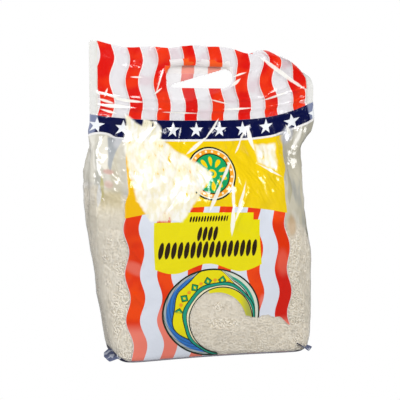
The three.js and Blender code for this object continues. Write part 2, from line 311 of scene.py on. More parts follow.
# %% Single creases, which have a sharp top
# Panel, start, end, half width, height
CREASES = [
    ("front", (49, 285), (-11, 178), 2.2, 1.9),
    ("front", (56, 211), (18, 150), 2.4, 1.7),
    ("front", (36, 214), (30, 176), 2.2, 1.3),
    ("front", (62, 284), (80, 238), 3.0, 2.0),
    ("front", (80, 238), (108, 226), 3.0, 1.8),
    ("front", (98, 276), (102, 240), 2.6, 1.5),
    ("front", (24, 292), (10, 268), 2.0, 1.4),
    ("front", (-95, 262), (-99, 190), 3.2, 2.2),
    ("front", (-118, 286), (-106, 214), 3.5, -3.0),
    ("front", (-62, 292), (-84, 262), 2.4, 1.8),
    ("front", (-40, 290), (-58, 258), 2.6, 1.8),
    ("front", (-30, 268), (0, 246), 2.6, 1.6),
    ("front", (-140, 262), (-126, 176), 3.6, -2.6),
    ("front", (-134, 240), (-142, 150), 3.0, 1.8),
    ("front", (122, 284), (116, 214), 3.4, -2.6),
    ("front", (138, 288), (128, 240), 3.0, 1.8),
    ("front", (-54, 363), (40, 363), 1.6, 1.3),
    ("front", (-56, 331), (-70, 322), 2.0, 1.2),
    ("front", (-54, 356), (-70, 322), 1.8, 1.2),
    ("front", (-112, 355), (-82, 352), 1.6, 0.9),
    ("front", (-150, 322), (-118, 306), 2.0, 1.2),
    ("front", (44, 346), (70, 356), 1.8, 1.1),
    ("front", (84, 318), (118, 326), 2.0, 1.2),
    ("front", (-104, 140), (-92, 118), 2.6, 1.3),
    ("front", (-106, 88), (-90, 66), 2.6, 1.3),
    ("back", (40, 288), (14, 190), 2.4, 1.8),
    ("back", (-40, 288), (-66, 214), 2.6, 1.9),
    ("back", (-92, 286), (-104, 210), 3.2, -2.4),
    ("back", (96, 286), (106, 200), 3.2, -2.4),
    ("back", (-30, 268), (24, 250), 2.4, 1.5),
    ("back", (60, 230), (20, 168), 2.4, 1.6),
]


# %% More creases, by a seeded draw
def add_small_creases(count):
    """Short creases by a seeded draw: down from the seam, and slanting in the lower body."""
    dice = random.Random(19)
    for _ in range(count):
        panel = dice.choice(("front", "back"))
        u, v = dice.uniform(-150, 150), dice.choice((dice.uniform(196, 290), dice.uniform(20, 190)))
        lean = dice.gauss(0, 0.5) + (0.25 if u > 0 else -0.25)
        length = dice.uniform(12, 46)
        end = (u + length * math.sin(lean), v - length * math.cos(lean))
        strength = 1.0 if v > 190 else 0.45
        height = dice.uniform(0.4, 1.3) * strength * dice.choice((1, 1, -1))
        CREASES.append((panel, (u, v), end, dice.uniform(1.4, 3.0), height))


add_small_creases(110)
print("creases:", len(CREASES))


def crease_height(front, u, v):
    height = np.zeros_like(u)
    for panel, start, end, width, tall in CREASES:
        line = np.subtract(end, start).astype(float)
        along = ((u - start[0]) * line[0] + (v - start[1]) * line[1]) / line.dot(line)
        across = ((u - start[0]) * line[1] - (v - start[1]) * line[0]) / np.hypot(*line)
        taper = ease(along, -0.05, 0.2) * (1 - ease(along, 0.75, 1.05))
        here = front if panel == "front" else ~front
        height += here * tall * taper * np.exp(-np.abs(across) / width)
    return height


# %% [markdown]
# ## The film
#
# Film starts flat. Each wall of the bag is added as a flat grid and gets its UV map while it is
# flat, in real metres of film, so that the print can be laid out like artwork on a sheet. Then
# the grid is carried to its standing shape. The hand hole is cut in the flat film too: the
# points near its outline are moved onto it, and the faces inside are deleted.

# %% Hand holes and the rows of the film
FILM_COLUMNS = 480
ROW_STEP = 1.32
BASE_ROWS = 6
SEAL_RIDGES = (303.0, 316.0)
SIDE_SEAL = 10.0
FRONT_HOLE = dict(x=-8.0, z=344.5, half_width=46.0, half_height=13.5, end=12.0, turn=0.0)
BACK_HOLE = dict(x=-3.0, z=333.0, half_width=46.0, half_height=13.0, end=12.0, turn=0.26)


def hole_distance(hole, u, v):
    """Distance to the hole's outline, less than nothing inside it."""
    cos, sin = math.cos(hole["turn"]), math.sin(hole["turn"])
    x = (u - hole["x"]) * cos + (v - hole["z"]) * sin
    z = (v - hole["z"]) * cos - (u - hole["x"]) * sin
    dx = np.abs(x) - (hole["half_width"] - hole["end"])
    dz = np.abs(z) - (hole["half_height"] - hole["end"])
    outside = np.hypot(np.maximum(dx, 0), np.maximum(dz, 0))
    return outside + np.minimum(np.maximum(dx, dz), 0) - hole["end"]


# %% Rows of the film, closer together round the bottom edge
def film_rows():
    turned = BASE_RADIUS * (1 - np.cos(np.linspace(0, math.pi / 2, BASE_ROWS, endpoint=False)))
    rows = round((TOTAL_HEIGHT - BASE_RADIUS) / ROW_STEP)
    return np.concatenate([turned, np.linspace(BASE_RADIUS, TOTAL_HEIGHT, rows + 1)])


def film_shift(v):
    """The film has slid round the rice a little, more so low down."""
    return 9.0 * (1 - ease(v, 120, 215)) - 4.0 * (1 - ease(v, 8, 60))


# %% How the flat film is fitted to the holes, the header and the sides
SEAL_RIDGE_HEIGHT, SEAL_RIDGE_HALF = 0.9, 1.5
SLOPE_STEP = 0.01


def fit_to_holes(front, x, height):
    """Moves the points near the outline of a hand hole onto it."""
    for hole, here in ((FRONT_HOLE, front), (BACK_HOLE, ~front)):
        distance = hole_distance(hole, x, height)
        near = here & (np.abs(distance) < ROW_STEP * 0.62)
        slope_x = (hole_distance(hole, x + SLOPE_STEP, height) - distance) / SLOPE_STEP
        slope_z = (hole_distance(hole, x, height + SLOPE_STEP) - distance) / SLOPE_STEP
        x = np.where(near, x - slope_x * distance, x)
        height = np.where(near, height - slope_z * distance, height)
    return x, height


def header_gap(x, height):
    """Share of the gap that is left between the two films: less in the header, least at its seals."""
    closed = 0.12 + 0.88 * ease(HEADER_WIDTH / 2 - np.abs(x), SIDE_SEAL, 34)
    closed *= 0.25 + 0.75 * ease(height, 292, 330)
    return 1 - ease(height, 286, 300) * (1 - closed)


def side_tuck(v, from_side):
    """How far the loose sides are drawn in, above the rice and below the header."""
    tuck = TUCK_DEPTH * ease(v, 168, 236) * (1 - ease(v, 246, 274))
    return tuck * np.exp(-((from_side / TUCK_WIDTH) ** 2))


def calmer(strength, v, from_side):
    """Wrinkles fade out towards the sides and the bottom, where the film is tight."""
    return strength * (0.3 + 0.7 * ease(from_side, 0, 30)) * ease(v, 0, 12)


def wrinkle_height(section, front, x, y, height, u, v, from_side):
    """How far all wrinkles push the film out: strong where it is loose, faint on the rice."""
    place = stand(section, x, y, height)
    crumpled = 0.35 + 0.9 * ease(v, 150, 215) * (1 - 0.85 * ease(v, 252, 268))
    crumpled += 0.28 * ease(v, 290, 300)
    crinkled = 0.05 + 0.75 * ease(v, 160, 205) * (1 - ease(v, 250, 268)) + 0.22 * ease(v, 288, 300)
    out = fold_height(front, u, height) + crease_height(front, u, height)
    out = out * ease(from_side, 0, 14) + crumple_height(*place) * calmer(crumpled, v, from_side)
    out = out + crinkle_height(*place) * calmer(crinkled, v, from_side)
    for ridge in SEAL_RIDGES:
        bump = SEAL_RIDGE_HEIGHT * np.exp(-(((height - ridge) / SEAL_RIDGE_HALF) ** 2))
        out = out + bump * ease(from_side, 4, 16)
    return out


# %% Lay out all the film at once, as arrays
def film_points():
    rows = film_rows()
    place = np.zeros((len(rows), FILM_COLUMNS, 3))
    across = np.zeros((len(rows), FILM_COLUMNS))
    front = np.arange(FILM_COLUMNS) <= FILM_COLUMNS // 2
    for row, v in enumerate(rows):
        section, ring, outward, u, from_side = ring_at(v, FILM_COLUMNS)
        x, height = fit_to_holes(front, ring[:, 0].copy(), np.full(FILM_COLUMNS, v))
        y = ring[:, 1] * header_gap(x, height)
        out = wrinkle_height(section, front, x, y, height, u, v, from_side)
        x = x - np.sign(x) * side_tuck(v, from_side) + outward[:, 0] * out
        y = y + outward[:, 1] * out
        place[row] = np.stack(stand(section, x, y, height), 1)
        across[row] = u + film_shift(v)
    return rows, place, across


film_v, film_place, film_u = film_points()
print("film rows and columns:", film_place.shape[:2])

# %% Turn the two walls into meshes
def remove_faces_in_hole(panel, hole):
    mesh = bmesh.new()
    mesh.from_mesh(panel.data)
    uv = mesh.loops.layers.uv.active
    inside = []
    for face in mesh.faces:
        u = sum(loop[uv].uv[0] for loop in face.loops) / len(face.loops) / MM
        v = sum(loop[uv].uv[1] for loop in face.loops) / len(face.loops) / MM
        if abs(u - hole["x"]) < 60 and abs(v - hole["z"]) < 25:
            if hole_distance(hole, np.array(u), np.array(v)) < -0.25:
                inside.append(face)
    bmesh.ops.delete(mesh, geom=inside, context="FACES")
    mesh.to_mesh(panel.data)
    mesh.free()


# %% One wall of the bag
def make_panel(name, columns, hole):
    """A flat grid of film with its UV map, carried to its standing shape."""
    rows, count = len(film_v), len(columns)
    bpy.ops.mesh.primitive_grid_add(x_subdivisions=count - 1, y_subdivisions=rows - 1, size=1)
    panel = bpy.context.object
    panel.name = panel.data.name = name
    flat = np.zeros(rows * count * 3)
    panel.data.vertices.foreach_get("co", flat)
    flat = flat.reshape(-1, 3)
    column = np.rint((flat[:, 0] + 0.5) * (count - 1)).astype(int)
    row = np.rint((flat[:, 1] + 0.5) * (rows - 1)).astype(int)
    around = np.asarray(columns)[column] % FILM_COLUMNS
    panel.data.vertices.foreach_set("co", (film_place[row, around] * MM).ravel())
    corner = np.zeros(len(panel.data.loops), dtype=int)
    panel.data.loops.foreach_get("vertex_index", corner)
    sheet = np.stack([film_u[row, around], film_v[row]], 1) * MM
    layer = panel.data.uv_layers.active or panel.data.uv_layers.new(name="Film")
    layer.name = "Film"
    layer.data.foreach_set("uv", sheet[corner].ravel())
    panel.data.update()
    remove_faces_in_hole(panel, hole)
    bpy.ops.object.mode_set(mode="EDIT")
    bpy.ops.mesh.select_all(action="SELECT")
    bpy.ops.mesh.normals_make_consistent(inside=False)
    bpy.ops.object.mode_set(mode="OBJECT")
    bpy.ops.object.shade_smooth()
    panel.select_set(False)
    print(name, "has", len(panel.data.polygons), "faces")
    return panel


half = FILM_COLUMNS // 2
film_front = make_panel("film_front", range(0, half + 1), FRONT_HOLE)
film_back = make_panel("film_back", range(half, FILM_COLUMNS + 1), BACK_HOLE)

# %% [markdown]
# ## The rice
#
# The filling is one solid heap just inside the film, with loose grains lying on it. Its top is
# not level: it slopes down to the right, as rice does after the bag has been set down. The heap
# is made from the same rings as the film, moved a little inwards. Whatever lies above the level
# of the rice is pressed down onto it, and so becomes the top of the heap.

# %% Outward directions on the film
def outward_directions():
    around = np.roll(film_place, -1, axis=1) - np.roll(film_place, 1, axis=1)
    up = np.gradient(film_place, axis=0)
    outward = np.cross(around, up)
    return outward / np.maximum(np.linalg.norm(outward, axis=2, keepdims=True), 1e-9)


film_outward = outward_directions()

# %% The heap
HEAP_INSET = 2.4
HEAP_EVERY = 3
LEVEL_MIDDLE, LEVEL_SLOPE = 183.0, 0.19


def rice_level(x, y):
    bumps = 2.4 * np.sin(x / 17 + 1.3) * np.sin(y / 13 + 0.4) + 1.5 * np.sin(x / 7.3 + y / 9.1)
    return LEVEL_MIDDLE - LEVEL_SLOPE * x + bumps


def heap_points():
    rows = [row for row in range(0, len(film_v), HEAP_EVERY) if film_v[row] < 283]
    columns = np.arange(0, FILM_COLUMNS, HEAP_EVERY)
    place = film_place[rows][:, columns] - HEAP_INSET * film_outward[rows][:, columns]
    x, y, z = place[..., 0], place[..., 1], place[..., 2]
    z = np.maximum(z, 1.2)
    over = ease(z - rice_level(x, y), 0, 60)
    x = (x + 4) * (1 - 0.12 * over) - 4
    y = y * (1 - 0.25 * over)
    level = rice_level(x, y)
    z = np.where(z > level, level, z)
    u, v = film_u[rows][:, columns], np.repeat(film_v[rows][:, None], len(columns), 1)
    return np.stack([x, y, z], 2), u, v


heap_place, heap_u, heap_v = heap_points()
print("top of the heap is", round(heap_place[..., 2].max(), 1), "mm high")


# %% A closed mesh from the rings of the heap
def closed_strip_faces(rows, columns):
    """Quads that join rings of points round a tube."""
    row, column = np.meshgrid(np.arange(rows - 1), np.arange(columns), indexing="ij")
    after = (column + 1) % columns
    low, high = row * columns, (row + 1) * columns
    faces = np.stack([low + column, low + after, high + after, high + column], 2)
    return faces.reshape(-1, 4).tolist()


def make_heap():
    rows, columns = heap_place.shape[:2]
    points = (heap_place.reshape(-1, 3) * MM).tolist()
    faces = closed_strip_faces(rows, columns)
    faces.append(list(range(columns))[::-1])
    faces.append([(rows - 1) * columns + column for column in range(columns)])
    mesh = bpy.data.meshes.new("rice_heap")
    mesh.from_pydata(points, [], faces)
    heap = bpy.data.objects.new("rice_heap", mesh)
    bpy.context.collection.objects.link(heap)
    for face in mesh.polygons:
        face.use_smooth = True
    print("rice heap:", len(mesh.polygons), "faces")
    return heap


rice_heap = make_heap()

# %% [markdown]
# ## Loose grains
#
# One grain is a small spindle with five sides. Thousands of them are laid on the heap wherever
# the film is clear: at both sides, in the window of the print, and on top. They lie flat with a little
# tilt, keep a distance from each other, and differ in length and thickness.

# %% Where the film is clear
def clear_zone(front, u, v):
    """True where the print leaves the film clear, so that the rice can be seen."""
    sides = np.abs(u) > 99
    bowl = np.hypot((u - 12) / 42, (v - 48) / 43) < 1
    corner = (u > -5) & (v < 52)
    return sides | (front & (bowl | corner))


# %% Scatter the grains
GRAIN_LENGTH, GRAIN_WIDTH = 6.6, 1.95
GRAIN_SIDES = 5
GRAINS_TRIED = 60000
GRAINS_KEPT = 9400
GRAIN_APART = 2.35
scatter_dice = np.random.default_rng(11)


def heap_samples():
    """Random places on the heap, with the outward direction and the place on the film."""
    rows, columns = heap_place.shape[:2]
    row, column = np.meshgrid(np.arange(rows - 1), np.arange(columns), indexing="ij")
    row, column = row.ravel(), column.ravel()
    after = (column + 1) % columns
    corners = [heap_place[row, column], heap_place[row, after], heap_place[row + 1, column]]
    side_a, side_b = corners[1] - corners[0], corners[2] - corners[0]
    direction = np.cross(side_a, side_b)
    area = np.linalg.norm(direction, axis=1)
    pick = scatter_dice.choice(len(area), GRAINS_TRIED, p=area / area.sum())
    s, t = scatter_dice.random((2, GRAINS_TRIED, 1))
    place = corners[0][pick] + s * side_a[pick] + t * side_b[pick]
    outward = direction[pick] / np.maximum(area[pick], 1e-9)[:, None]
    u, v = heap_u[row[pick], column[pick]], heap_v[row[pick], column[pick]]
    front = column[pick] * 2 <= columns
    on_top = place[:, 2] > rice_level(place[:, 0], place[:, 1]) - 0.5
    outward = np.where((on_top & (outward[:, 2] < 0))[:, None], -outward, outward)
    return place, outward, clear_zone(front, u, v) | on_top


# %% Keep the grains apart
def keep_apart(place, wanted):
    """Goes through the places in turn and keeps those that are not too near an earlier one."""
    cells, kept = {}, []
    for index in np.flatnonzero(wanted):
        cell = tuple((place[index] // GRAIN_APART).astype(int))
        near = (
            other
            for i in (-1, 0, 1)
            for j in (-1, 0, 1)
            for k in (-1, 0, 1)
            for other in cells.get((cell[0] + i, cell[1] + j, cell[2] + k), ())
        )
        if all(np.sum((place[index] - place[other]) ** 2) > GRAIN_APART**2 for other in near):
            cells.setdefault(cell, []).append(index)
            kept.append(index)
            if len(kept) == GRAINS_KEPT:
                break
    return np.array(kept)


# %% The shape of one grain
def grain_points():
    """The points of one grain, one millimetre long and one wide, and its triangles."""
    points = [(-0.5, 0.0, 0.0)]
    for along in (-0.27, 0.27):
        for side in range(GRAIN_SIDES):
            turn = 2 * math.pi * (side + 0.5 * (along > 0)) / GRAIN_SIDES
            points.append((along, 0.5 * math.cos(turn), 0.42 * math.sin(turn)))
    points.append((0.5, 0.0, 0.0))
    faces = []
    for side in range(GRAIN_SIDES):
        after = (side + 1) % GRAIN_SIDES
        near, far = 1 + side, 1 + GRAIN_SIDES + side
        next_near, next_far = 1 + after, 1 + GRAIN_SIDES + after
        faces.append((0, next_near, near))
        faces.append((near, next_near, far))
        faces.append((next_near, next_far, far))
        faces.append((far, next_far, len(points) - 1))
    return np.array(points), np.array(faces)


# %% Lay the grains on the heap
def grain_axes(outward):
    """Three directions for each grain: along it, across it, and nearly out of the heap."""
    count = len(outward)
    turn = scatter_dice.uniform(0, 2 * math.pi, count)
    helper = np.where(np.abs(outward[:, 2:]) < 0.8, [[0, 0, 1.0]], [[1.0, 0, 0]])
    aside = np.cross(helper, outward)
    aside /= np.linalg.norm(aside, axis=1, keepdims=True)
    ahead = np.cross(outward, aside)
    along = aside * np.cos(turn)[:, None] + ahead * np.sin(turn)[:, None]
    along += outward * scatter_dice.normal(0, 0.05, (count, 1))
    along /= np.linalg.norm(along, axis=1, keepdims=True)
    across = np.cross(outward, along)
    across /= np.linalg.norm(across, axis=1, keepdims=True)
    return np.stack([along, across, np.cross(along, across)], 1)


def make_grains():
    place, outward, wanted = heap_samples()
    kept = keep_apart(place, wanted)
    place, outward = place[kept], outward[kept]
    count = len(kept)
    axes = grain_axes(outward)
    length = GRAIN_LENGTH * scatter_dice.uniform(0.8, 1.1, (count, 1, 1))
    width = GRAIN_WIDTH * scatter_dice.uniform(0.85, 1.1, (count, 1, 1))
    shape, faces = grain_points()
    sized = shape[None] * np.concatenate([length, width, width], 2)
    rise = scatter_dice.uniform(0.35, 1.05, (count, 1))
    points = np.einsum("npk,nkj->npj", sized, axes) + (place + outward * rise)[:, None]
    points[..., 2] = np.maximum(points[..., 2], 0.5)
    every = faces[None] + np.arange(count)[:, None, None] * len(shape)
    mesh = bpy.data.meshes.new("rice_grains")
    mesh.from_pydata((points.reshape(-1, 3) * MM).tolist(), [], every.reshape(-1, 3).tolist())
    grains = bpy.data.objects.new("rice_grains", mesh)
    bpy.context.collection.objects.link(grains)
    for face in mesh.polygons:
        face.use_smooth = True
    print("rice grains:", count, "with", len(mesh.polygons), "triangles")
    return grains


rice_grains = make_grains()

# %% [markdown]
# ## Small pieces of film
#
# The die that punches the hand hole leaves a strip hanging on its upper edge, and here that strip
# is folded up. The folded bottom closes the bag underneath, and the flat ends of its seam slope
# down to the table at the two corners. All of them are small grids of points, with the same UV
# map in metres of film as the walls.

# %% A small sheet of film from a grid of points
def sheet_object(name, place, sheet):
    """A grid of points as a mesh with a UV map in metres of film."""
    rows, columns = place.shape[:2]
    index = np.arange(rows * columns).reshape(rows, columns)
    quads = np.stack([index[:-1, :-1], index[:-1, 1:], index[1:, 1:], index[1:, :-1]], 2)
    mesh = bpy.data.meshes.new(name)
    mesh.from_pydata((place.reshape(-1, 3) * MM).tolist(), [], quads.reshape(-1, 4).tolist())
    corner = np.zeros(len(mesh.loops), dtype=int)
    mesh.loops.foreach_get("vertex_index", corner)
    layer = mesh.uv_layers.new(name="Film")
    layer.data.foreach_set("uv", (sheet.reshape(-1, 2)[corner] * MM).ravel())
    piece = bpy.data.objects.new(name, mesh)
    bpy.context.collection.objects.link(piece)
    for face in mesh.polygons:
        face.use_smooth = True
    print(name, "has", len(mesh.polygons), "faces")
    return piece


# %% The strip over the hand hole
STRIP_START, STRIP_END, STRIP_DEPTH = -49.5, 34.5, 8.0
STRIP_FOOT, STRIP_PRINT_TOP = 357.6, 358.0
STRIP_ROWS, STRIP_COLUMNS = 9, 85


def make_strip():
    across = np.linspace(STRIP_START, STRIP_END, STRIP_COLUMNS)
    place = np.zeros((STRIP_ROWS, STRIP_COLUMNS, 3))
    sheet = np.zeros((STRIP_ROWS, STRIP_COLUMNS, 2))
    section = section_at(355.0)
    for row, rise in enumerate(np.linspace(0, STRIP_DEPTH, STRIP_ROWS)):
        v = np.full(STRIP_COLUMNS, STRIP_FOOT + rise) - 1.2 * np.sin((across + 8) / 60)
        bulge = 1.3 * math.sin(math.pi * min(rise / STRIP_DEPTH, 1))
        away = 2.3 + bulge + 0.35 * np.sin(across / 6.5)
        place[row] = np.stack(stand(section, across, -away, v), 1)
        sheet[row] = np.stack([across, np.full(STRIP_COLUMNS, STRIP_PRINT_TOP - rise)], 1)
    return sheet_object("film_strip", place, sheet)


film_strip = make_strip()

# %% The underside
UNDERSIDE_RINGS, UNDERSIDE_EVERY = 18, 4


def make_underside():
    """Rings that shrink towards the middle, with flat folds that meet the seam."""
    steps = np.linspace(1.0, 0.0, UNDERSIDE_RINGS)
    ring = film_place[0]
    middle = ring.mean(axis=0)
    around = np.arange(0, FILM_COLUMNS + 1, UNDERSIDE_EVERY) % FILM_COLUMNS
    place = np.zeros((UNDERSIDE_RINGS, len(around), 3))
    for row, step in enumerate(steps):
        place[row] = middle + (ring[around] - middle) * [step, step, 0]
        x, y = place[row, :, 0], place[row, :, 1]
        seam = np.exp(-np.abs(y + 0.1 * x) / 5)
        folds = np.abs(triangle(x / 64 + 0.25)) * (1 - seam)
        place[row, :, 2] = 0.15 + (1 - step**8) * (0.9 * folds + 0.3 * (1 - seam))
    return sheet_object("film_underside", place, place[..., :2].copy())


film_underside = make_underside()

# %% The two ends of the bottom seam
EAR_THICKNESS = 0.8
EAR_FLOOR, EAR_SLOPE, EAR_WAVE = 1.2, 11.0, 0.7
EAR_LONG, EAR_WIDE = 13, 25
# Outlines on the table, in x and y: one end of the fold, three points outside, the other end
LEFT_EAR = ((-106, 34), (-124, 30), (-131, 7), (-130, -14), (-107, -28))
RIGHT_EAR = ((102, -58), (118, -55), (131, -40), (134, -18), (108, 18))


def make_ear(name, outline):
    """A flat pointed end of doubled film that slopes down from the corner to the table."""
    inner = np.array([outline[0], outline[-1]], dtype=float)
    outer = np.array(outline[1:-1], dtype=float)
    share, at = np.linspace(0, 1, EAR_WIDE), np.linspace(0, 1, len(outer))
    edge = np.stack([np.interp(share, at, outer[:, 0]), np.interp(share, at, outer[:, 1])], 1)
    root = inner[0] + (inner[1] - inner[0]) * share[:, None]
    out = np.linspace(0, 1, EAR_LONG)[:, None, None]
    flat = root[None] * (1 - out) + edge[None] * out
    lift = EAR_FLOOR + EAR_SLOPE * (1 - out[..., 0])
    lift = lift + EAR_WAVE * out[..., 0] * np.sin(share * 9 + 3 * out[..., 0])
    place = np.concatenate([flat, lift[..., None]], 2)
    sheet = np.stack([flat[..., 1], flat[..., 0]], 2)
    ear = sheet_object(name, place, sheet)
    ear.modifiers.new("Doubled film", "SOLIDIFY").thickness = EAR_THICKNESS * MM
    bpy.context.view_layer.objects.active = ear
    ear.select_set(True)
    bpy.ops.object.modifier_apply(modifier="Doubled film")
    bpy.ops.object.mode_set(mode="EDIT")
    bpy.ops.mesh.select_all(action="SELECT")
    bpy.ops.mesh.normals_make_consistent(inside=False)
    bpy.ops.object.mode_set(mode="OBJECT")
    ear.select_set(False)
    return ear


ear_left = make_ear("ear_left", LEFT_EAR)
ear_right = make_ear("ear_right", RIGHT_EAR)

# %% [markdown]
# ## Print
#
# The print is drawn on the flat sheet with arithmetic, so it stays sharp at any distance. The
# small class below lets ordinary Python arithmetic build the maths nodes: every sum or product
# of `Number`s adds one node. Lengths are in millimetres of film: `u` runs across from the middle
# of the panel, and `v` up from the floor.
#
# A shape is a distance that is less than nothing inside the shape, and `within` turns it into a
# mask with a soft edge. `least` joins two shapes, and `most` keeps what lies in both.

# %% Arithmetic with nodes
class Number:
    """A value in a shader tree that takes part in ordinary arithmetic."""

    def __init__(self, tree, socket):
        self.tree, self.socket = tree, socket

    def math(self, operation, *others):
        node = self.tree.nodes.new("ShaderNodeMath")
        node.operation = operation
        for slot, value in zip(node.inputs, (self,) + others):
            if isinstance(value, Number):
                self.tree.links.new(value.socket, slot)
            else:
                slot.default_value = value
        return Number(self.tree, node.outputs[0])

    def __add__(self, other):
        return self.math("ADD", other)

    def __sub__(self, other):
        return self.math("SUBTRACT", other)

    def __mul__(self, other):
        return self.math("MULTIPLY", other)

    def __truediv__(self, other):
        return self.math("DIVIDE", other)

    def flipped(self):
        """One less this."""
        return self * -1 + 1

    def size(self):
        return self.math("ABSOLUTE")

    def least(self, other):
        return self.math("MINIMUM", other)

    def most(self, other):
        return self.math("MAXIMUM", other)

    def squared(self):
        return self * self

    def far(self, other):
        """Length of the vector (this, other)."""
        return (self.squared() + other.squared()).math("SQRT")

    def wave(self, length, start=0.0):
        """A cosine of that wavelength, highest at start."""
        return ((self - start) * (2 * math.pi / length)).math("COSINE")

    def cell(self, pitch):
        """Place in the repeated cell, from minus to plus half the pitch."""
        return ((self / pitch).math("FRACT") - 0.5) * pitch

    def rise(self, start, end):
        """Goes smoothly from 0 at start to 1 at end."""
        node = self.tree.nodes.new("ShaderNodeMapRange")
        node.interpolation_type = "SMOOTHSTEP"
        self.tree.links.new(self.socket, node.inputs["Value"])
        node.inputs["From Min"].default_value = start
        node.inputs["From Max"].default_value = end
        return Number(self.tree, node.outputs["Result"])

    def within(self, soft=0.35):
        """Mask of what is less than nothing."""
        node = self.tree.nodes.new("ShaderNodeMapRange")
        node.clamp = True
        self.tree.links.new(self.socket, node.inputs["Value"])
        node.inputs["From Min"].default_value = soft / 2
        node.inputs["From Max"].default_value = -soft / 2
        return Number(self.tree, node.outputs["Result"])

    def between(self, low, high, soft=0.35):
        return ((self - (low + high) / 2).size() - (high - low) / 2).within(soft)


# %% Colours, and layers of paint
def colour_of(code, alpha=1.0):
    """A web colour as linear light."""
    parts = [int(code[index:index + 2], 16) / 255 for index in (1, 3, 5)]
    linear = [p / 12.92 if p <= 0.04045 else ((p + 0.055) / 1.055) ** 2.4 for p in parts]
    return (*linear, alpha)


class Artwork:
    """Layers of colour with an ink mask, painted one over the other."""

    def __init__(self, tree, colour, ink):
        self.tree, self.colour, self.ink = tree, colour_of(colour), ink

    def mix_colour(self, mask, below, above):
        node = self.tree.nodes.new("ShaderNodeMix")
        node.data_type = "RGBA"
        self.tree.links.new(mask.socket, node.inputs[0])
        for slot, value in ((node.inputs[6], below), (node.inputs[7], above)):
            if isinstance(value, tuple):
                slot.default_value = value
            else:
                self.tree.links.new(value, slot)
        return node.outputs[2]

    def paint(self, mask, colour, ink=None):
        if isinstance(colour, str):
            colour = colour_of(colour)
        self.colour = self.mix_colour(mask, self.colour, colour)
        if ink is not None:
            below = self.ink
            self.ink = mask * ink + mask.flipped() * below


# %% Noise, node groups, and the place on the film
def texture_number(tree, vector, scale, detail=2.0, stretch=None):
    """Noise from 0 to 1 on a vector."""
    if stretch:
        mapping = tree.nodes.new("ShaderNodeMapping")
        mapping.inputs["Scale"].default_value = stretch
        tree.links.new(vector, mapping.inputs["Vector"])
        vector = mapping.outputs["Vector"]
    noise = tree.nodes.new("ShaderNodeTexNoise")
    noise.inputs["Scale"].default_value = scale
    noise.inputs["Detail"].default_value = detail
    tree.links.new(vector, noise.inputs["Vector"])
    return Number(tree, noise.outputs["Fac"])


def new_group(name, outputs):
    tree = bpy.data.node_groups.new(name, "ShaderNodeTree")
    for output, kind in outputs:
        tree.interface.new_socket(output, in_out="OUTPUT", socket_type=kind)
    return tree, tree.nodes.new("NodeGroupOutput")


def film_numbers(tree):
    """u and v in millimetres, and the vector that they come from."""
    uv = tree.nodes.new("ShaderNodeUVMap")
    uv.uv_map = "Film"
    parts = tree.nodes.new("ShaderNodeSeparateXYZ")
    tree.links.new(uv.outputs["UV"], parts.inputs[0])
    u = Number(tree, parts.outputs["X"]) * 1000
    v = Number(tree, parts.outputs["Y"]) * 1000
    return u, v, uv.outputs["UV"]


# %% [markdown]
# ## Inks
#
# A bag like this is printed with a few flat inks on clear film, and each ink is one named colour
# here. `Ink` is the second thing that the print puts out: 1 where the film is covered, and a thin
# haze where it is clear. Real film has that haze too, from dust of the rice and from the many
# small wrinkles, and it is thicker above the rice, where the loose film shows the back wall.

# %% Colours of the inks
RED, REFLECTED_ORANGE_RED, SALMON_REFLECTION, DEEP_RED = "#DE0C00", "#EE3204", "#F08472", "#D41400"
BODY_RED, BODY_REFLECTED_ORANGE, STRIP_LIT_RED = "#E23200", "#F24600", "#F4581C"
HEADER_WHITE, HEADER_PINK, BODY_WHITE, EDGE_WHITE = "#E2DFE4", "#DCCAD2", "#E0E5F0", "#F2F0EE"
STRIP_WHITE, ARM_WHITE, BOTTOM_FOLD_SHADE, RIM_GREY = "#EDE8E7", "#D9DDCC", "#66607C", "#A9B4B4"
NAVY, NAVY_LIGHT, STAR = "#020940", "#7F87A4", "#EEF1F4"
YELLOW, DEEP_YELLOW, LEMON, WALL_YELLOW = "#EFCC00", "#EFBA00", "#EBDE00", "#E6DC10"
DARK_BROWN, DARK_GREEN, GREEN, TEAL = "#2A1C08", "#1C2A1E", "#12A05E", "#1C9A80"
BLUE, ORANGE, CREAM, OLIVE = "#2F74C4", "#F0A020", "#F3EBC4", "#A8AC4C"
MARK_GROUND, MARK_LINES = "#D9DAB4", "#4E473A"

# %% Colours of the clear film, and how hazy it is
CLEAR_FILM, LEFT_FILM, WINDOW_FILM, FROSTED = "#E2DDD0", "#ECE9E0", "#EDE7DA", "#DCDCD8"
GLEAM, PALE_GLEAM = "#FCFAF2", "#F3ECCB"
LOOSE_LEFT, LOOSE_RIGHT, LOOSE_FOLD_HIGHLIGHT, LOOSE_FOLD_SHADE = "#D8D4C6", "#D2CCB6", "#EEEBE0", "#B4B5AD"
LOOSE_SHADE, DULL_GREY, DULL_WHITE = "#B0AC9A", "#A4AAB1", "#C8CAD0"
ON_RICE_HAZE, WINDOW_HAZE, SIDE_HAZE, LOOSE_HAZE = 0.33, 0.39, 0.39, 0.8
print("haze of the clear film: on the rice", ON_RICE_HAZE, "and where it hangs loose", LOOSE_HAZE)

# %% Where the fields of the print lie, in millimetres of film
STRIPE_PITCH, STRIPE_HALF = 37.5, 8.5
GROUND_HALF = 102.75
STAR_PITCH, STAR_RADIUS, STAR_MIDDLE = 32.2, 9.7, 279.3
BAND_LOW, BAND_HIGH, LINE_LOW = 268.0, 291.0, 265.5


# %% Simple shapes to paint with
def spot(u, v, middle_u, middle_v, half_u, half_v):
    """A soft round spot: 1 in the middle and 0 at the rim."""
    return ((u - middle_u) / half_u).far((v - middle_v) / half_v).rise(1.0, 0.4)


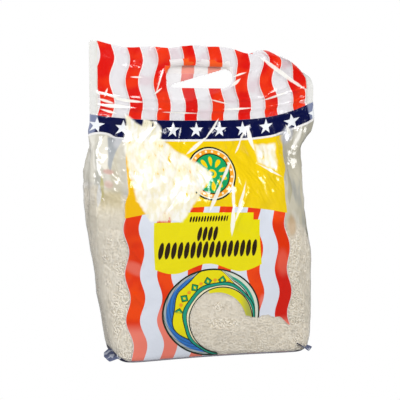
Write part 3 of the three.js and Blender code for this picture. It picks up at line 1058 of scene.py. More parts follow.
def near_line(u, v, start, end, half):
    """Distance to a line that thins out at both ends."""
    line = np.subtract(end, start).astype(float)
    length = float(np.hypot(*line))
    ahead, aside = line / length, np.array([-line[1], line[0]]) / length
    along = (u - start[0]) * float(ahead[0]) + (v - start[1]) * float(ahead[1])
    across = (u - start[0]) * float(aside[0]) + (v - start[1]) * float(aside[1])
    share = (along / (length / 2) - 1).squared()
    return across.size() - share.flipped() * half


def streak(u, v, start, end, half, soft):
    """A line as a mask with soft edges."""
    return near_line(u, v, start, end, half).rise(soft, -soft)


def beside_line(u, v, start, end):
    """Distance to the left of a line, so less than nothing on its right hand."""
    line = np.subtract(end, start).astype(float)
    aside = np.array([-line[1], line[0]]) / np.hypot(*line)
    return (u - start[0]) * float(aside[0]) + (v - start[1]) * float(aside[1])


def inside_sides(u, v, sides):
    """Distance to a shape with straight sides, each a start and an end, in clockwise order."""
    distance = beside_line(u, v, *sides[0])
    for start, end in sides[1:]:
        distance = distance.most(beside_line(u, v, start, end))
    return distance


def star_distance(x, y, radius, inner):
    """Distance to a five-pointed star with one point up."""
    sector = 2 * math.pi / 5
    turn = x.math("ARCTAN2", y)
    folded = ((turn / sector + 0.5).math("FRACT") - 0.5).size() * sector
    reach = x.far(y)
    px, py = reach * folded.math("COSINE"), reach * folded.math("SINE")
    tip = np.array([radius, 0.0])
    notch = radius * inner * np.array([math.cos(sector / 2), math.sin(sector / 2)])
    side = (notch - tip) / np.linalg.norm(notch - tip)
    return (px - tip[0]) * side[1] + py * -side[0]


# %% [markdown]
# ## Header, band and ground
#
# Both panels share this part of the print. It is painted in layers from the bottom up, as a
# press lays one ink over the other: the clear film, the striped header, the striped ground with
# its yellow field, then the band of stars, and last the dark foot. The stripes are one formula
# for the whole sheet, a wave that moves sideways as it goes up.

# %% Clear film under the print
def paint_clear_film(art, u, v, noise, film_vector):
    """Clear over the rice, and milky above it where the film is loose, with painted light and shade on its
    folds.
    """
    above_rice = v + u * LEVEL_SLOPE + noise * 12 - (LEVEL_MIDDLE + 6)
    art.paint((u * -1).rise(90, 112), LEFT_FILM, noise.rise(0.42, 0.54) * -0.09 + SIDE_HAZE)
    folds = texture_number(art.tree, film_vector, 24, 3, (2.4, 0.7, 1))
    # The loose film on the right is darker high up, by painted shade.
    right = art.mix_colour(v.rise(242, 212), colour_of(LOOSE_SHADE), colour_of(LOOSE_RIGHT))
    side = art.mix_colour(u.rise(-20, 60), colour_of(LOOSE_LEFT), right)
    # Light and dark streaks along the folds are painted highlights and painted shade.
    loose = art.mix_colour(folds.rise(0.52, 0.66) * 0.8, side, colour_of(LOOSE_FOLD_HIGHLIGHT))
    loose = art.mix_colour(folds.rise(0.46, 0.34) * 0.8, loose, colour_of(LOOSE_FOLD_SHADE))
    art.paint(above_rice.rise(-4, 8), loose, LOOSE_HAZE)


# %% Wavy stripes
def stripe_drift(u, v):
    """How far the stripes lie to one side in the header, and back again on its rolled corner."""
    hump = ((u - 10) / 62).squared().flipped().most(0) * v.rise(342, 362) * 4.2
    drift = (hump + 2.5) * v.rise(288, 300) * u.rise(-132, -70)
    flap = (v + (u - 67) * 0.89 - 378).rise(-0.5, 0.5)
    drift = drift + u.rise(58, 72) * v.rise(288, 300) * (v.rise(300, 345) * 3 + 1.2)
    return drift - flap * u.rise(58, 66) * 8


def stripe_distance(waved):
    """Distance to the nearest red stripe."""
    stripe = (waved / STRIPE_PITCH).math("FRACT") - 0.5
    return stripe.size() * STRIPE_PITCH - STRIPE_HALF


# %% The header, with the strip over its hand hole
def paint_header(art, u, v, noise, stripe):
    header = v.between(BAND_HIGH, 400)
    printed = (u.size() - 140).within()
    art.paint(header * (u.size() - 139).rise(0, 4), FROSTED, 0.5)
    white = art.mix_colour(noise.rise(0.5, 0.62), colour_of(HEADER_WHITE), colour_of(HEADER_PINK))
    art.paint(header * printed, white, 0.58)
    art.paint(header * printed * (stripe - 1.1).within(1.2), EDGE_WHITE, 0.8)
    # Orange red patches in the red are painted reflection on the glossy film.
    red = art.mix_colour(noise.rise(0.42, 0.62), colour_of(RED), colour_of(REFLECTED_ORANGE_RED))
    art.paint(header * printed * stripe.within(), red, 0.97)
    punched = v.between(348.5, 358.2) * ((u + 8).size() - 47).within()
    art.paint(punched, STRIP_WHITE, 0.8)
    # The strip's red is painted lighter and more orange, as the lit face of the folded strip.
    art.paint(punched * (stripe - 0.6).within(), STRIP_LIT_RED, 0.97)


# %% The striped ground and the yellow field
def table_reflection_on_red(u, v):
    """Where a painted reflection of the light table pales the red to salmon: near the foot, and in three
    spots.
    """
    pale_top = (u + 62).size().rise(24, 16) * 24 + 44
    reflected = (v - pale_top).rise(8, -8).most(spot(u, v + u * 0.35, -93, 83, 19, 11) * 0.6)
    return reflected.most(spot(u, v, 67, 68, 8, 13) * 0.8).most(spot(u, v, 94, 116, 12, 22) * 0.35)


def paint_body(art, u, v, noise, waved, stripe):
    yellow_low = (u / 100).squared() * -11 + 188
    ground_edge = (waved.size() - GROUND_HALF).most(v - yellow_low - 1.5)
    ground = ground_edge.within() * (v + 20).within().flipped()
    art.paint(ground, BODY_WHITE, 0.95)
    # Orange patches in the red are painted reflection on the glossy film.
    red = art.mix_colour(noise.rise(0.42, 0.6), colour_of(BODY_RED), colour_of(BODY_REFLECTED_ORANGE))
    red = art.mix_colour(u.rise(70, 85) * v.rise(120, 95), red, colour_of(DEEP_RED))
    # Salmon patches are a painted reflection of the light table on the red.
    red = art.mix_colour(table_reflection_on_red(u, v) * 0.9, red, colour_of(SALMON_REFLECTION))
    art.paint(ground * stripe.within(), red, 0.97)
    right_edge = u - 104 - v.rise(216, 230) * 6
    left_edge = u * -1 - 99.5 - v.rise(208, 188) * 5
    field = v.between(150, LINE_LOW) * right_edge.most(left_edge).within() * (yellow_low - v).within()
    yellow = art.mix_colour((u * -1).rise(30, 95), colour_of(YELLOW), colour_of(DEEP_YELLOW))
    art.paint(field, yellow, 0.98)


# %% The band of stars
def paint_band(art, u, v):
    """A navy band with a white line under it. Both bend up at the ends, and pale at the side seals."""
    rise_left = ((u + 130) / 17).squared().flipped().most(0) * 4.2
    band_low = rise_left + u.rise(90, 142) * 6.5 + BAND_LOW
    band_high = u.rise(90, 142) * 2 + BAND_HIGH
    art.paint((v - band_low).within() * (band_low - 2.5 - v).within(), EDGE_WHITE, 0.9)
    band = (band_low - v).within() * (v - band_high).within()
    navy = art.mix_colour((u.size() - 139).rise(0, 3), colour_of(NAVY), colour_of(NAVY_LIGHT))
    art.paint(band, navy, 1.0)
    across = (u + 141 + STAR_PITCH / 2).cell(STAR_PITCH)
    star = star_distance(across, v - STAR_MIDDLE, STAR_RADIUS, 0.4)
    art.paint(band * star.within(), STAR, 1.0)


# %% The foot
def paint_foot(art, u, v):
    """A painted shade line where the film turns under at the bottom fold, and the navy of the bottom seam at
    the two corners.
    """
    # A painted shade line along the bottom fold.
    art.paint((v - 3.0).within(1.6), BOTTOM_FOLD_SHADE, 0.8)
    corner = ((u.size() - 104) * 0.43 - v).least(v * -1 + 13)
    art.paint((corner * -1).within(0.6) * (u.size() - 104).within(0.1).flipped(), NAVY, 1.0)
    seam_star = star_distance(u.size() - 126, v - 4.5, 6.5, 0.45)
    art.paint(seam_star.within() * v.between(-2, 12), STAR)


def paint_ground(art, u, v, noise, film_vector):
    """All that the front and the back share."""
    paint_clear_film(art, u, v, noise, film_vector)
    waved = u - v.wave(57, 307.5) * 3.2 + stripe_drift(u, v)
    stripe = stripe_distance(waved)
    paint_header(art, u, v, noise, stripe)
    paint_body(art, u, v, noise, waved, stripe)
    paint_band(art, u, v)
    paint_foot(art, u, v)


# %% [markdown]
# ## The front
#
# On the front come a round badge on the yellow field, a label with rows of grains of three
# sizes, and a ring like the rim of a bowl, whose hollow is left clear. The motifs are
# plain ones: petals, grains, diamonds, dots and waves. Each is a distance from a line or a point,
# repeated by `cell`, and most are painted twice, first a little larger and dark, as an outline.

# %% The round badge
BADGE_RINGS = ((32, DARK_GREEN), (30, CREAM), (28.6, ORANGE), (24, DARK_GREEN), (22.6, GREEN))
BADGE_HEART = ((5.2, YELLOW), (2.6, GREEN))
# How many, at what radius, half length, half width, colour
BADGE_PETALS = ((10, 14.5, 5.6, 2.3, YELLOW), (20, 26.3, 1.5, 1.5, CREAM))


def paint_badge(art, u, v):
    x, y = u - 5, v - 227
    reach = x.far(y)
    for radius, colour in BADGE_RINGS:
        art.paint((reach - radius).within(), colour, 1.0)
    turn = y.math("ARCTAN2", x) / (2 * math.pi)
    for count, radius, long, wide, colour in BADGE_PETALS:
        aside = (turn * count).cell(1.0) * (2 * math.pi * radius / count)
        petal = (aside / wide).far((reach - radius) / long) - 1
        art.paint(petal.within(0.15), colour)
    for radius, colour in BADGE_HEART:
        art.paint((reach - radius).within(), colour)


# %% The label with rows of grains
# Middle of the row, half length and half width of a grain, start and end of the row, pitch
LABEL_ROWS = (
    (173.5, 3.6, 1.3, -27, 22, 3.6),
    (155.5, 8.6, 2.7, -17, 10, 6.75),
    (136.3, 10.2, 3.1, -66, 60, 7.9),
)
GRAIN_LEAN = 0.22


def paint_label(art, u, v):
    low_edge = (u + 5).wave(86, 0) * 5.5 + 113.5
    main = ((u + 3).size() - 67.5).most(low_edge - v).most(v - 170.5)
    block = ((u - 9.5).size() - 46.5).most(v * -1 + 140).most(v - 181 + (u / 30))
    art.paint(main.least(block).within(), LEMON, 0.98)
    for middle, tall, wide, start, end, pitch in LABEL_ROWS:
        y = v - middle
        leaned = u - y * GRAIN_LEAN
        x = (leaned - start).cell(pitch)
        grain = (x / wide).far(y / tall) - 1
        art.paint(grain.within(0.12) * leaned.between(start, end), DARK_BROWN)


# %% The ring round the bowl: water at the left, a pale arm at the right
def paint_water(art, u, v, outer, turn, ripple):
    """A blue strip with dark lines, which ends in waves on its inner side."""
    strip = outer * -1 - (ripple * 2.2 + 10) * (u + v * 0.3 - 22).rise(0, -34)
    art.paint((strip - 1.2).most(outer).within(), DARK_GREEN)
    water = art.mix_colour((outer * -1).rise(3.0, 4.5), colour_of(RIM_GREY), colour_of(BLUE))
    lines = (outer * 1.4 + turn * 95).cell(5.2).size() - 0.45
    water = art.mix_colour(lines.within(0.4) * 0.75, water, colour_of(DARK_GREEN))
    art.paint(strip.most(outer).within(), water)


def paint_arm(art, u, v, outer):
    """A pale arm with a teal line in it."""
    slant = u + v * 0.4
    arm = outer * -1 - (slant - 54).rise(0, 14) * 11
    art.paint((arm - 1.2).most(outer).within(), DARK_GREEN)
    art.paint(arm.most(outer).within(), ARM_WHITE)
    art.paint(((arm + 5).size() - 1.6).most(outer).within() * slant.rise(60, 68), TEAL)
    art.paint(((arm + 2.4).size() - 0.6).most(outer).within() * slant.rise(56, 62), DARK_GREEN)


# %% The ring round the bowl: diamonds, dots and the wavy lip
# Half width, half height, softness, colour
DIAMONDS = ((5.0, 12, 0.12, DARK_GREEN), (3.8, 9.8, 0.15, GREEN), (1.5, 4.4, 0.2, LEMON))
# Share of the lip, how much further out, colour
LIP_LINES = (
    (1.0, 2.0, DARK_GREEN), (1.0, 0.6, TEAL), (0.45, 0.5, DARK_GREEN), (0.45, -0.4, CREAM),
    (0.0, 1.2, DARK_GREEN),
)
DIAMOND_COUNT, DIAMOND_PITCH = 16, 16.5


def paint_diamonds(art, outer, inner, turn):
    aside = (turn * DIAMOND_COUNT).cell(1.0) * DIAMOND_PITCH
    middle = outer + inner + 4
    upper_left = (turn + 0.5).math("FRACT").between(0.68, 0.97, 0.01)
    for wide, tall, soft, colour in DIAMONDS:
        diamond = aside.size() / wide + middle.size() / tall - 1
        art.paint(diamond.within(soft) * upper_left, colour)
    dots = ((turn * DIAMOND_COUNT + 0.5).cell(1.0) * DIAMOND_PITCH).far(middle * 0.5) - 2.2
    art.paint(dots.within() * upper_left, ORANGE)


def paint_lip(art, outer, inner, ripple):
    lip = outer * -0.24 + 1.6 + ripple * 0.9
    for share, further, colour in LIP_LINES:
        art.paint((inner - lip * share - further).within(), colour)


# %% The clear window
def window_haze(u, v, noise):
    """A little misty, and clear enough to see single grains in a band across and in a corner."""
    clear = spot(u, v, 10, 44, 46, 11).most(spot(u, v, 10, 66, 14, 8))
    clear = clear.most(spot(u, v, 118, 16, 24, 14)) * noise.rise(0.36, 0.5)
    return clear * -0.08 + WINDOW_HAZE


def paint_hollow(art, u, v, inner, noise):
    """The hollow of the bowl is clear, with a shaded wall at its right."""
    wall = ((u - 6) / 39).far((v - 43) / 40) * 40 - 40
    inside = (inner + 0.2).within()
    art.paint(inside, WINDOW_FILM, window_haze(u, v, noise))
    shade = art.mix_colour(u.rise(34, 50), colour_of(WALL_YELLOW), colour_of(OLIVE))
    art.paint(inside * (wall * -1).within() * (u + v * 0.5).rise(36, 40) * v.rise(48, 51), shade, 0.97)


def paint_window(art, u, v, fine, noise):
    """Everything to the right of the bowl and under a soft edge is clear."""
    edge = u.rise(84, 102) * -13 + u.wave(24, 70) * 1.6 + 50 + (fine - 0.5) * 5
    open_film = (v - edge) * 0.8
    region = open_film.most(u * -1 - 3 + v.rise(16, 4) * 11).most(v * -1 + 3.0)
    art.paint(region.within(0.6), WINDOW_FILM, window_haze(u, v, noise))


def paint_bowl(art, u, v, noise):
    """Two ovals, one inside the other and off its middle, leave a ring that is thick at the left."""
    outer = (u / 61).far((v - 58) / 54) * 56 - 56
    inner = ((u - 12) / 40).far((v - 48) / 41) * 40 - 40
    turn = (v - 52).math("ARCTAN2", u - 4) / (2 * math.pi)
    ripple = (turn * 2 * math.pi * 7).math("SINE")
    art.paint(outer.within(), LEMON, 0.98)
    paint_water(art, u, v, outer, turn, ripple)
    paint_arm(art, u, v, outer)
    paint_diamonds(art, outer, inner, turn)
    paint_lip(art, outer, inner, ripple)
    art.paint((outer.size() - 0.95).within(), DARK_GREEN, 1.0)
    paint_hollow(art, u, v, inner, noise)


# %% [markdown]
# ## Loose film at the sides
#
# Beside the print and above the rice the film hangs loose. It folds there, and what one sees is
# the back wall through two films, in dull and milky colours. No print lies there on the real bag,
# so these are soft lines and spots with a thick haze, painted like ink. The pale lines on the
# folds are painted highlights.

# %% Folds, dull spots and painted highlights
# Each row is a shape, its measures, how strong it is, its colour and its haze
SIDE_SHAPES = (
    # Painted highlights on two fold ridges at the left
    (streak, ((-125, 271), (-120, 228), 6.5, 1.0), 0.9, "#F3EEDF", 0.9),
    (streak, ((-136, 258), (-132, 228), 2.4, 0.8), 0.6, "#F4F0E6", None),
    (spot, (-118, 228, 8, 4), 0.7, "#CE9C92", 0.9),
    (spot, (-120, 214, 7, 6), 0.6, "#D0A296", 0.9),
    (streak, ((-126, 224), (-131, 194), 2.4, 0.8), 0.8, "#BFB86F", None),
    # A painted bluish highlight on a fold at the left
    (streak, ((-131, 214), (-136, 188), 2.4, 0.8), 0.85, "#E2E9F4", None),
    (spot, (113, 264, 9, 13), 0.85, "#B3B5C0", None),
    # Painted highlights on two folds at the right
    (streak, ((128, 273), (121, 243), 1.7, 0.6), 0.9, GLEAM, None),
    (streak, ((110, 277), (118, 262), 1.4, 0.6), 0.8, GLEAM, None),
    (streak, ((115, 226), (109, 186), 3.6, 1.0), 0.7, "#AEA782", None),
    (spot, (111, 160, 10, 18), 0.7, "#D2A870", 0.7),
)


def paint_left_gusset(art, u, v):
    """Three milky zones one above the other, and a grey wedge between two folds."""
    left = (u * -1).rise(102, 110)
    art.paint(left * (u + 142).rise(0, 14) * v.rise(174, 192) * v.rise(214, 202) * 0.8, "#CDBE8A", 0.75)
    art.paint(left * v.rise(150, 174) * v.rise(198, 184) * 0.5, "#E0D9C4", 0.62)
    art.paint(left * v.rise(200, 216) * v.rise(266, 250) * (u + 120).rise(0, 6) * 0.9, "#CDC7B2", 0.9)
    wedge = beside_line(u, v, (-104, 268), (-115, 229)).most(beside_line(u, v, (-122, 268), (-116, 229)) * -1)
    wedge = wedge.most(v - 267).most(v * -1 + 228)
    dull = art.mix_colour(spot(u, v, -108, 262, 7, 9), colour_of(DULL_GREY), colour_of(DULL_WHITE))
    art.paint(wedge.rise(0.8, -0.8) * 0.9, dull)


def paint_loose_sides(art, u, v):
    """Where the film hangs loose at the two sides, it folds, and the back shines through; its pale lines are
    painted highlights.
    """
    paint_left_gusset(art, u, v)
    for shape, measures, strength, colour, haze in SIDE_SHAPES:
        art.paint(shape(u, v, *measures) * strength, colour, haze)


# %% The mark where the two panels meet
def paint_side_mark(art, u, v):
    """Upright dark lines on a pale ground, on the right side where the panels meet."""
    block = (u * -1 + 146).most(v - 174).most(v * -1 + 144)
    art.paint(block.within(), MARK_GROUND, 0.95)
    thin, wide = u.cell(2.6).size() - 0.55, (u + 1).cell(7.3).size() - 1.0
    art.paint((block + 1.8).within() * thin.least(wide).within(), MARK_LINES)


# %% [markdown]
# ## Gleams
#
# Where a crease stands up or crinkles lie close together, the film gleams white. The lights of
# this scene make most of that by themselves, but not at every place where the real bag has it,
# because that hangs on each small facet. So the largest gleams are painted too: a cloud of fine
# crinkles at the left shoulder, a patch at the right, and a few thin lines.

# %% Where the gleams lie
CLOUD_SIDES = (
    ((-59, 268), (7, 228)), ((7, 228), (-36, 170)), ((-36, 171), (-74, 172)), ((-74, 172), (-95, 200)),
    ((-92, 196), (-104, 270)),
)
PATCH_SIDES = (((66, 262), (99, 259)), ((99, 262), (98, 222)), ((99, 222), (70, 236)), ((69, 235), (66, 264)))
# Each gleam is a line from a start to an end, with the half width at its middle
GLEAMS = (
    ((19, 293), (1, 268), 1.5),
    ((4, 271), (-25, 250), 2.2),
    ((32, 241), (14, 214), 2.0),
    ((17, 219), (-2, 181), 2.6),
    ((31, 216), (30, 182), 2.0),
    ((30, 190), (27.5, 151), 2.6),
    ((49, 216), (31, 168), 1.9),
    ((59, 282), (47, 260), 1.5),
    ((50, 264), (40, 250), 1.2),
    ((58, 284), (68, 252), 2.4),
    ((70, 236), (101, 219), 1.2),
    ((39, 345), (58, 352), 1.2),
    ((37, 333), (50, 343), 2.2),
    ((-141, 320), (-104, 312), 1.5),
    ((-120, 313), (-84, 312), 1.7),
    ((-141, 304), (-98, 305), 2.4),
    ((-140, 311), (-121, 308), 1.7),
    ((-137, 299), (-117, 296), 1.3),
    ((-128, 325), (-132, 314), 1.0),
    ((-100, 341), (-84, 342), 1.0),
    ((-57, 301), (-10, 300), 0.9),
    ((8, 317), (31, 312), 0.8),
    ((27, 305), (66, 305), 1.3),
    ((80, 313), (114, 318), 1.5),
    ((-60, 330), (-70, 322), 1.2),
    ((-58, 352), (-68, 322), 0.9),
)


# %% Paint the gleams
def paint_gleams(art, u, v, vector):
    streaks = texture_number(art.tree, vector, 95, 3, (1.7, 0.75, 1))
    ragged = (texture_number(art.tree, vector, 60, 3) - 0.5) * 24
    over_band = near_line(u, v, (-84, 292), (-62, 262), 13)
    cloud = inside_sides(u, v, CLOUD_SIDES).least(over_band)
    cloud = cloud.least(inside_sides(u, v, PATCH_SIDES) + 1.5) + ragged * 0.35
    torn = cloud.rise(1.5, -2.5) * streaks.rise(0.28, 0.37)
    white = art.mix_colour(streaks.rise(0.6, 0.4) * 0.9, colour_of(GLEAM), colour_of(PALE_GLEAM))
    art.paint(torn * 0.95, white, 0.98)
    crease = near_line(u, v, (68, 377), (143, 310), 2.2) + ragged * 0.12
    art.paint(crease.rise(0.6, -0.6) * 0.85, GLEAM, 0.95)
    for start, end, half in GLEAMS:
        line = near_line(u, v, start, end, half) + ragged * 0.05
        art.paint(line.rise(0.5, -0.5) * 0.92, GLEAM, 0.97)


# %% [markdown]
# ## The four prints
#
# Each print is one node group that puts out a colour and the ink mask. The front has all layers.
# The back can't be seen, so it has the shared ground and a plain panel with ruled lines. The
# underside and the two seam ends carry the navy of the band once more.

# %% Front and back
PRINT_OUTPUTS = (("Colour", "NodeSocketColor"), ("Ink", "NodeSocketFloat"))


def finish_group(tree, output, art):
    tree.links.new(art.colour, output.inputs["Colour"])
    tree.links.new(art.ink.socket, output.inputs["Ink"])
    print(tree.name, "has", len(tree.nodes), "nodes")
    return tree


def front_print():
    tree, output = new_group("Front print", PRINT_OUTPUTS)
    u, v, vector = film_numbers(tree)
    noise, fine = texture_number(tree, vector, 26), texture_number(tree, vector, 210)
    art = Artwork(tree, CLEAR_FILM, v * 0 + ON_RICE_HAZE)
    paint_ground(art, u, v, noise, vector)
    paint_badge(art, u, v)
    paint_label(art, u, v)
    paint_bowl(art, u, v, noise)
    paint_window(art, u, v, fine, noise)
    paint_loose_sides(art, u, v)
    paint_side_mark(art, u, v)
    paint_gleams(art, u, v, vector)
    return finish_group(tree, output, art)


def back_print():
    """The back has the same ground, and a pale panel with ruled lines for plain text."""
    tree, output = new_group("Back print", PRINT_OUTPUTS)
    u, v, vector = film_numbers(tree)
    art = Artwork(tree, CLEAR_FILM, v * 0 + ON_RICE_HAZE)
    paint_ground(art, u, v, texture_number(tree, vector, 26), vector)
    paint_side_mark(art, u, v)
    panel = (u.size() - 68).most((v - 112).size() - 62)
    art.paint(panel.within(), DARK_GREEN, 0.98)
    art.paint((panel + 1.4).within(), CREAM, 0.98)
    ruled = v.cell(9.0).size() - 1.1
    lines = ruled.within() * (u.size() - 58).within() * v.between(62, 158)
    art.paint(lines, DARK_BROWN)
    art.paint(v.between(144.5, 170) * (u.size() - 58).within(), GREEN)
    return finish_group(tree, output, art)


# %% Underside and seam ends
def seam_print():
    """The bottom seam is the navy band once more, on clear film."""
    tree, output = new_group("Seam print", PRINT_OUTPUTS)
    u, v, _ = film_numbers(tree)
    art = Artwork(tree, CLEAR_FILM, v * 0 + 0.1)
    middle = v + u * 0.1
    art.paint((middle.size() - 13).within(), NAVY, 1.0)
    art.paint(star_distance(u.cell(STAR_PITCH), middle, 7.5, 0.4).within(), STAR)
    return finish_group(tree, output, art)


def ear_print():
    """Navy all over, with a row of stars and a paler line at the fold."""
    tree, output = new_group("Ear print", PRINT_OUTPUTS)
    u, v, _ = film_numbers(tree)
    art = Artwork(tree, NAVY, v * 0 + 1.0)
    star = star_distance((u + 15).cell(24.0), v.size() - 123, 8.0, 0.42)
    art.paint(star.within(), STAR)
    art.paint((v.size() * -1 + 108).within() * 0.6, NAVY_LIGHT)
    return finish_group(tree, output, art)


# %% [markdown]
# ## Film, rice and their gloss
#
# Ink lies on glossy film, so the finish is the same everywhere: smooth, with a low sheen of
# crumpling too fine for the mesh. The clear film lets most light through, and more of it shines
# back where it is seen edge on. From inside, the print looks paler, because white ink lies
# behind the colours. Light that only passes through on its way to the rice is dimmed less than
# the view is, as real film scatters it forward. The doubled ends of the seam are dull, because
# they are seen so flat that a gloss would hide their dark ink.

# %% Fine bumps, for film and for rice
def add_bump(tree, shader, height, strength, distance):
    bump = tree.nodes.new("ShaderNodeBump")
    bump.inputs["Strength"].default_value = strength
    bump.inputs["Distance"].default_value = distance
    tree.links.new(height.socket, bump.inputs["Height"])
    tree.links.new(bump.outputs["Normal"], shader.inputs["Normal"])
    return bump.outputs["Normal"]


# %% Film material
def film_material(name, group, roughness=0.17, ior=1.5, coat=0.8):
    material = bpy.data.materials.new(name)
    material.use_nodes = True
    tree = material.node_tree
    shader = tree.nodes["Principled BSDF"]
    shader.inputs["Roughness"].default_value = roughness
    shader.inputs["IOR"].default_value = ior
    shader.inputs["Coat Weight"].default_value = coat
    shader.inputs["Coat Roughness"].default_value = 0.06
    printed = tree.nodes.new("ShaderNodeGroup")
    printed.node_tree = group
    geometry = tree.nodes.new("ShaderNodeNewGeometry")
    inside = tree.nodes.new("ShaderNodeMix")
    inside.data_type = "RGBA"
    seen_inside = Number(tree, geometry.outputs["Backfacing"]) * 0.3
    tree.links.new(seen_inside.socket, inside.inputs[0])
    tree.links.new(printed.outputs["Colour"], inside.inputs[6])
    inside.inputs[7].default_value = colour_of("#E6E0DA")
    tree.links.new(inside.outputs[2], shader.inputs["Base Color"])
    edge_on = tree.nodes.new("ShaderNodeLayerWeight")
    edge_on.inputs["Blend"].default_value = 0.35
    facing = Number(tree, edge_on.outputs["Facing"])
    ink = Number(tree, printed.outputs["Ink"])
    alpha = ink + ink.flipped() * facing.squared() * 0.8
    shadow = Number(tree, tree.nodes.new("ShaderNodeLightPath").outputs["Is Shadow Ray"])
    alpha = alpha * (shadow * (ink.rise(0.9, 0.6) * 0.6)).flipped()
    tree.links.new(alpha.socket, shader.inputs["Alpha"])
    place = tree.nodes.new("ShaderNodeTexCoord").outputs["Object"]
    height = texture_number(tree, place, 85, 3) + texture_number(tree, place, 330, 1) * 0.3
    normal = add_bump(tree, shader, height, 0.4, 1.2 * MM)
    tree.links.new(normal, shader.inputs["Coat Normal"])
    return material


# %% Rice materials
def rice_material(name, light, dark, speck, strength):
    """Two colours in cloudy patches, a few dark specks, and grainy bumps of some strength."""
    material = bpy.data.materials.new(name)
    material.use_nodes = True
    tree = material.node_tree
    shader = tree.nodes["Principled BSDF"]
    shader.inputs["Roughness"].default_value = 0.55
    place = tree.nodes.new("ShaderNodeTexCoord").outputs["Object"]
    art = Artwork(tree, light, None)
    art.paint(texture_number(tree, place, 190, 2).rise(0.35, 0.7), dark)
    art.paint(texture_number(tree, place, 160, 3).rise(0.67, 0.75), speck)
    tree.links.new(art.colour, shader.inputs["Base Color"])
    add_bump(tree, shader, texture_number(tree, place, 420, 2), strength, 1.5 * MM)
    return material


# %% Give every piece its material
front_film = film_material("Printed film, front", front_print())
back_film = film_material("Printed film, back", back_print())
seam_film = film_material("Printed film, seam", seam_print())
ear_film = film_material("Printed film, ears", ear_print(), roughness=0.5, ior=1.02, coat=0.0)
heap_rice = rice_material("Rice heap", "#E6DCC8", "#CDC1A8", "#A08F70", 0.8)
loose_rice = rice_material("Rice grains", "#FBF5E8", "#EFE6D4", "#AF9F80", 0.1)
PIECES = (
    (film_front, front_film), (film_strip, front_film), (film_back, back_film),
    (film_underside, seam_film), (ear_left, ear_film), (ear_right, ear_film),
    (rice_heap, heap_rice), (rice_grains, loose_rice),
)
for piece, material in PIECES:
    piece.data.materials.append(material)
    print(piece.name, "is", material.name)

# %% [markdown]
# ## Light and camera
#
# The bag stands on a light table in front of a white wall, so there is no shadow under it and
# none behind it. Soft light comes from all around. One bright window of light, high up in front,
# is mirrored by the crumpled shoulder. A broad soft one fills the left side, and another behind
# the bag keeps its back as bright as its front.

# %% Camera
PHOTO_YAW = math.radians(22)
CAMERA_AWAY, CAMERA_HEIGHT = 1300.0, 300.0
LOOK_AT = np.array([-7.0, 0.0, 192.0])
PHOTO_SIDE, PHOTO_FOCAL = 400, 1043.6


def add_camera():
    away = np.array([-math.sin(PHOTO_YAW), -math.cos(PHOTO_YAW), 0.0]) * CAMERA_AWAY
    place = LOOK_AT + away
    place[2] = CAMERA_HEIGHT
    bpy.ops.object.camera_add(location=place * MM)
    camera = bpy.context.object
    aim = Vector((LOOK_AT - place) * MM)
    camera.rotation_euler = aim.to_track_quat("-Z", "Y").to_euler()
    camera.data.sensor_fit = "HORIZONTAL"
    camera.data.angle = 2 * math.atan(PHOTO_SIDE / 2 / PHOTO_FOCAL)
    camera.data.clip_end = 20
    bpy.context.scene.camera = camera
    print("the camera is", round(CAMERA_AWAY), "mm away and", round(CAMERA_HEIGHT), "mm up")


add_camera()

# %% Light table and wall
WALL_LIGHT, ROOM_LIGHT, DARK_ROOM = 1.0, 0.66, 0.03
TABLE_LIGHT, TABLE_MIRRORED = 0.5, 0.12


def add_floor():
    bpy.ops.mesh.primitive_plane_add(size=12, location=(0, 0, 0))
    floor = bpy.context.object
    floor.name = "floor"
    material = bpy.data.materials.new("Light table")
    material.use_nodes = True
    tree = material.node_tree
    shader = tree.nodes["Principled BSDF"]
    shader.inputs["Base Color"].default_value = (0, 0, 0, 1)
    shader.inputs["Roughness"].default_value = 1.0
    shader.inputs["Specular IOR Level"].default_value = 0.0
    shader.inputs["Emission Color"].default_value = (1, 1, 1, 1)
    path = tree.nodes.new("ShaderNodeLightPath")
    seen = Number(tree, path.outputs["Is Camera Ray"])
    mirrored = Number(tree, path.outputs["Is Glossy Ray"])
    glow = mirrored * (TABLE_MIRRORED - TABLE_LIGHT) + TABLE_LIGHT
    glow = seen * WALL_LIGHT + seen.flipped() * glow
    tree.links.new(glow.socket, shader.inputs["Emission Strength"])
    floor.data.materials.append(material)


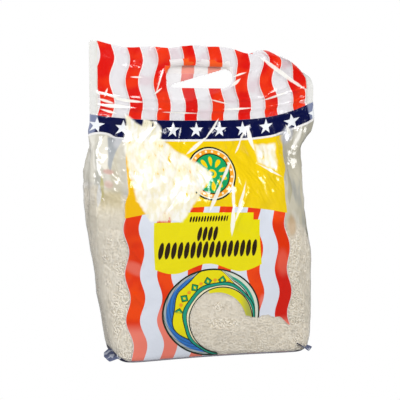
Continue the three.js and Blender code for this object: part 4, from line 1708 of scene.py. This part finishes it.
# %% Bright room
def add_world():
    world = bpy.data.worlds.new("Bright room")
    world.use_nodes = True
    tree = world.node_tree
    room = tree.nodes["Background"]
    room.inputs["Color"].default_value = (1, 1, 1, 1)
    path = tree.nodes.new("ShaderNodeLightPath")
    seen = Number(tree, path.outputs["Is Camera Ray"])
    mirrored = Number(tree, path.outputs["Is Glossy Ray"])
    toward = tree.nodes.new("ShaderNodeSeparateXYZ")
    tree.links.new(tree.nodes.new("ShaderNodeTexCoord").outputs["Generated"], toward.inputs[0])
    behind = Number(tree, toward.outputs["Y"]).rise(-0.1, 0.6)
    above = Number(tree, toward.outputs["Z"]).rise(0.1, 1.0)
    in_mirror = behind * (WALL_LIGHT * 0.5 - DARK_ROOM) + DARK_ROOM
    room_light = (above * -0.4 + 1) * ROOM_LIGHT
    glow = mirrored * in_mirror + mirrored.flipped() * room_light
    glow = seen * WALL_LIGHT + seen.flipped() * glow
    tree.links.new(glow.socket, room.inputs["Strength"])
    bpy.context.scene.world = world


# %% Windows of light
def add_soft_box(name, place, target, width, height, strength):
    """A window of light, in millimetres, aimed at a point. strength is its brightness."""
    bpy.ops.object.light_add(type="AREA", location=np.array(place) * MM)
    light = bpy.context.object
    light.name = name
    light.data.shape = "RECTANGLE"
    light.data.size, light.data.size_y = width * MM, height * MM
    light.data.energy = strength * math.pi * (width * MM) * (height * MM)
    aim = Vector(np.subtract(target, place) * MM)
    light.rotation_euler = aim.to_track_quat("-Z", "Y").to_euler()
    print(name, "gives", round(light.data.energy, 2), "watts")


add_floor()
add_world()
add_soft_box("Window over the shoulder", (30, -950, 900), (-50, -30, 225), 460, 560, 10.0)
add_soft_box("Fill from the left", (-1250, -450, 450), (0, 0, 180), 1100, 1200, 1.6)
add_soft_box("Fill from behind", (350, 1300, 700), (0, 0, 180), 1400, 1200, 1.1)
bpy.context.scene.view_settings.view_transform = "Standard"

# %% [markdown]
# ## Hand the pieces over
#
# Every piece rides on the one body of the bag. The film and the rice take the place of the plain
# solid in the imported model.

# %% Pieces on the body
for piece in (film_front, film_back, film_strip, film_underside, ear_left, ear_right):
    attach(piece, "root")
    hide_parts("bag")
for piece in (rice_heap, rice_grains):
    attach(piece, "root")
    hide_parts("bag")
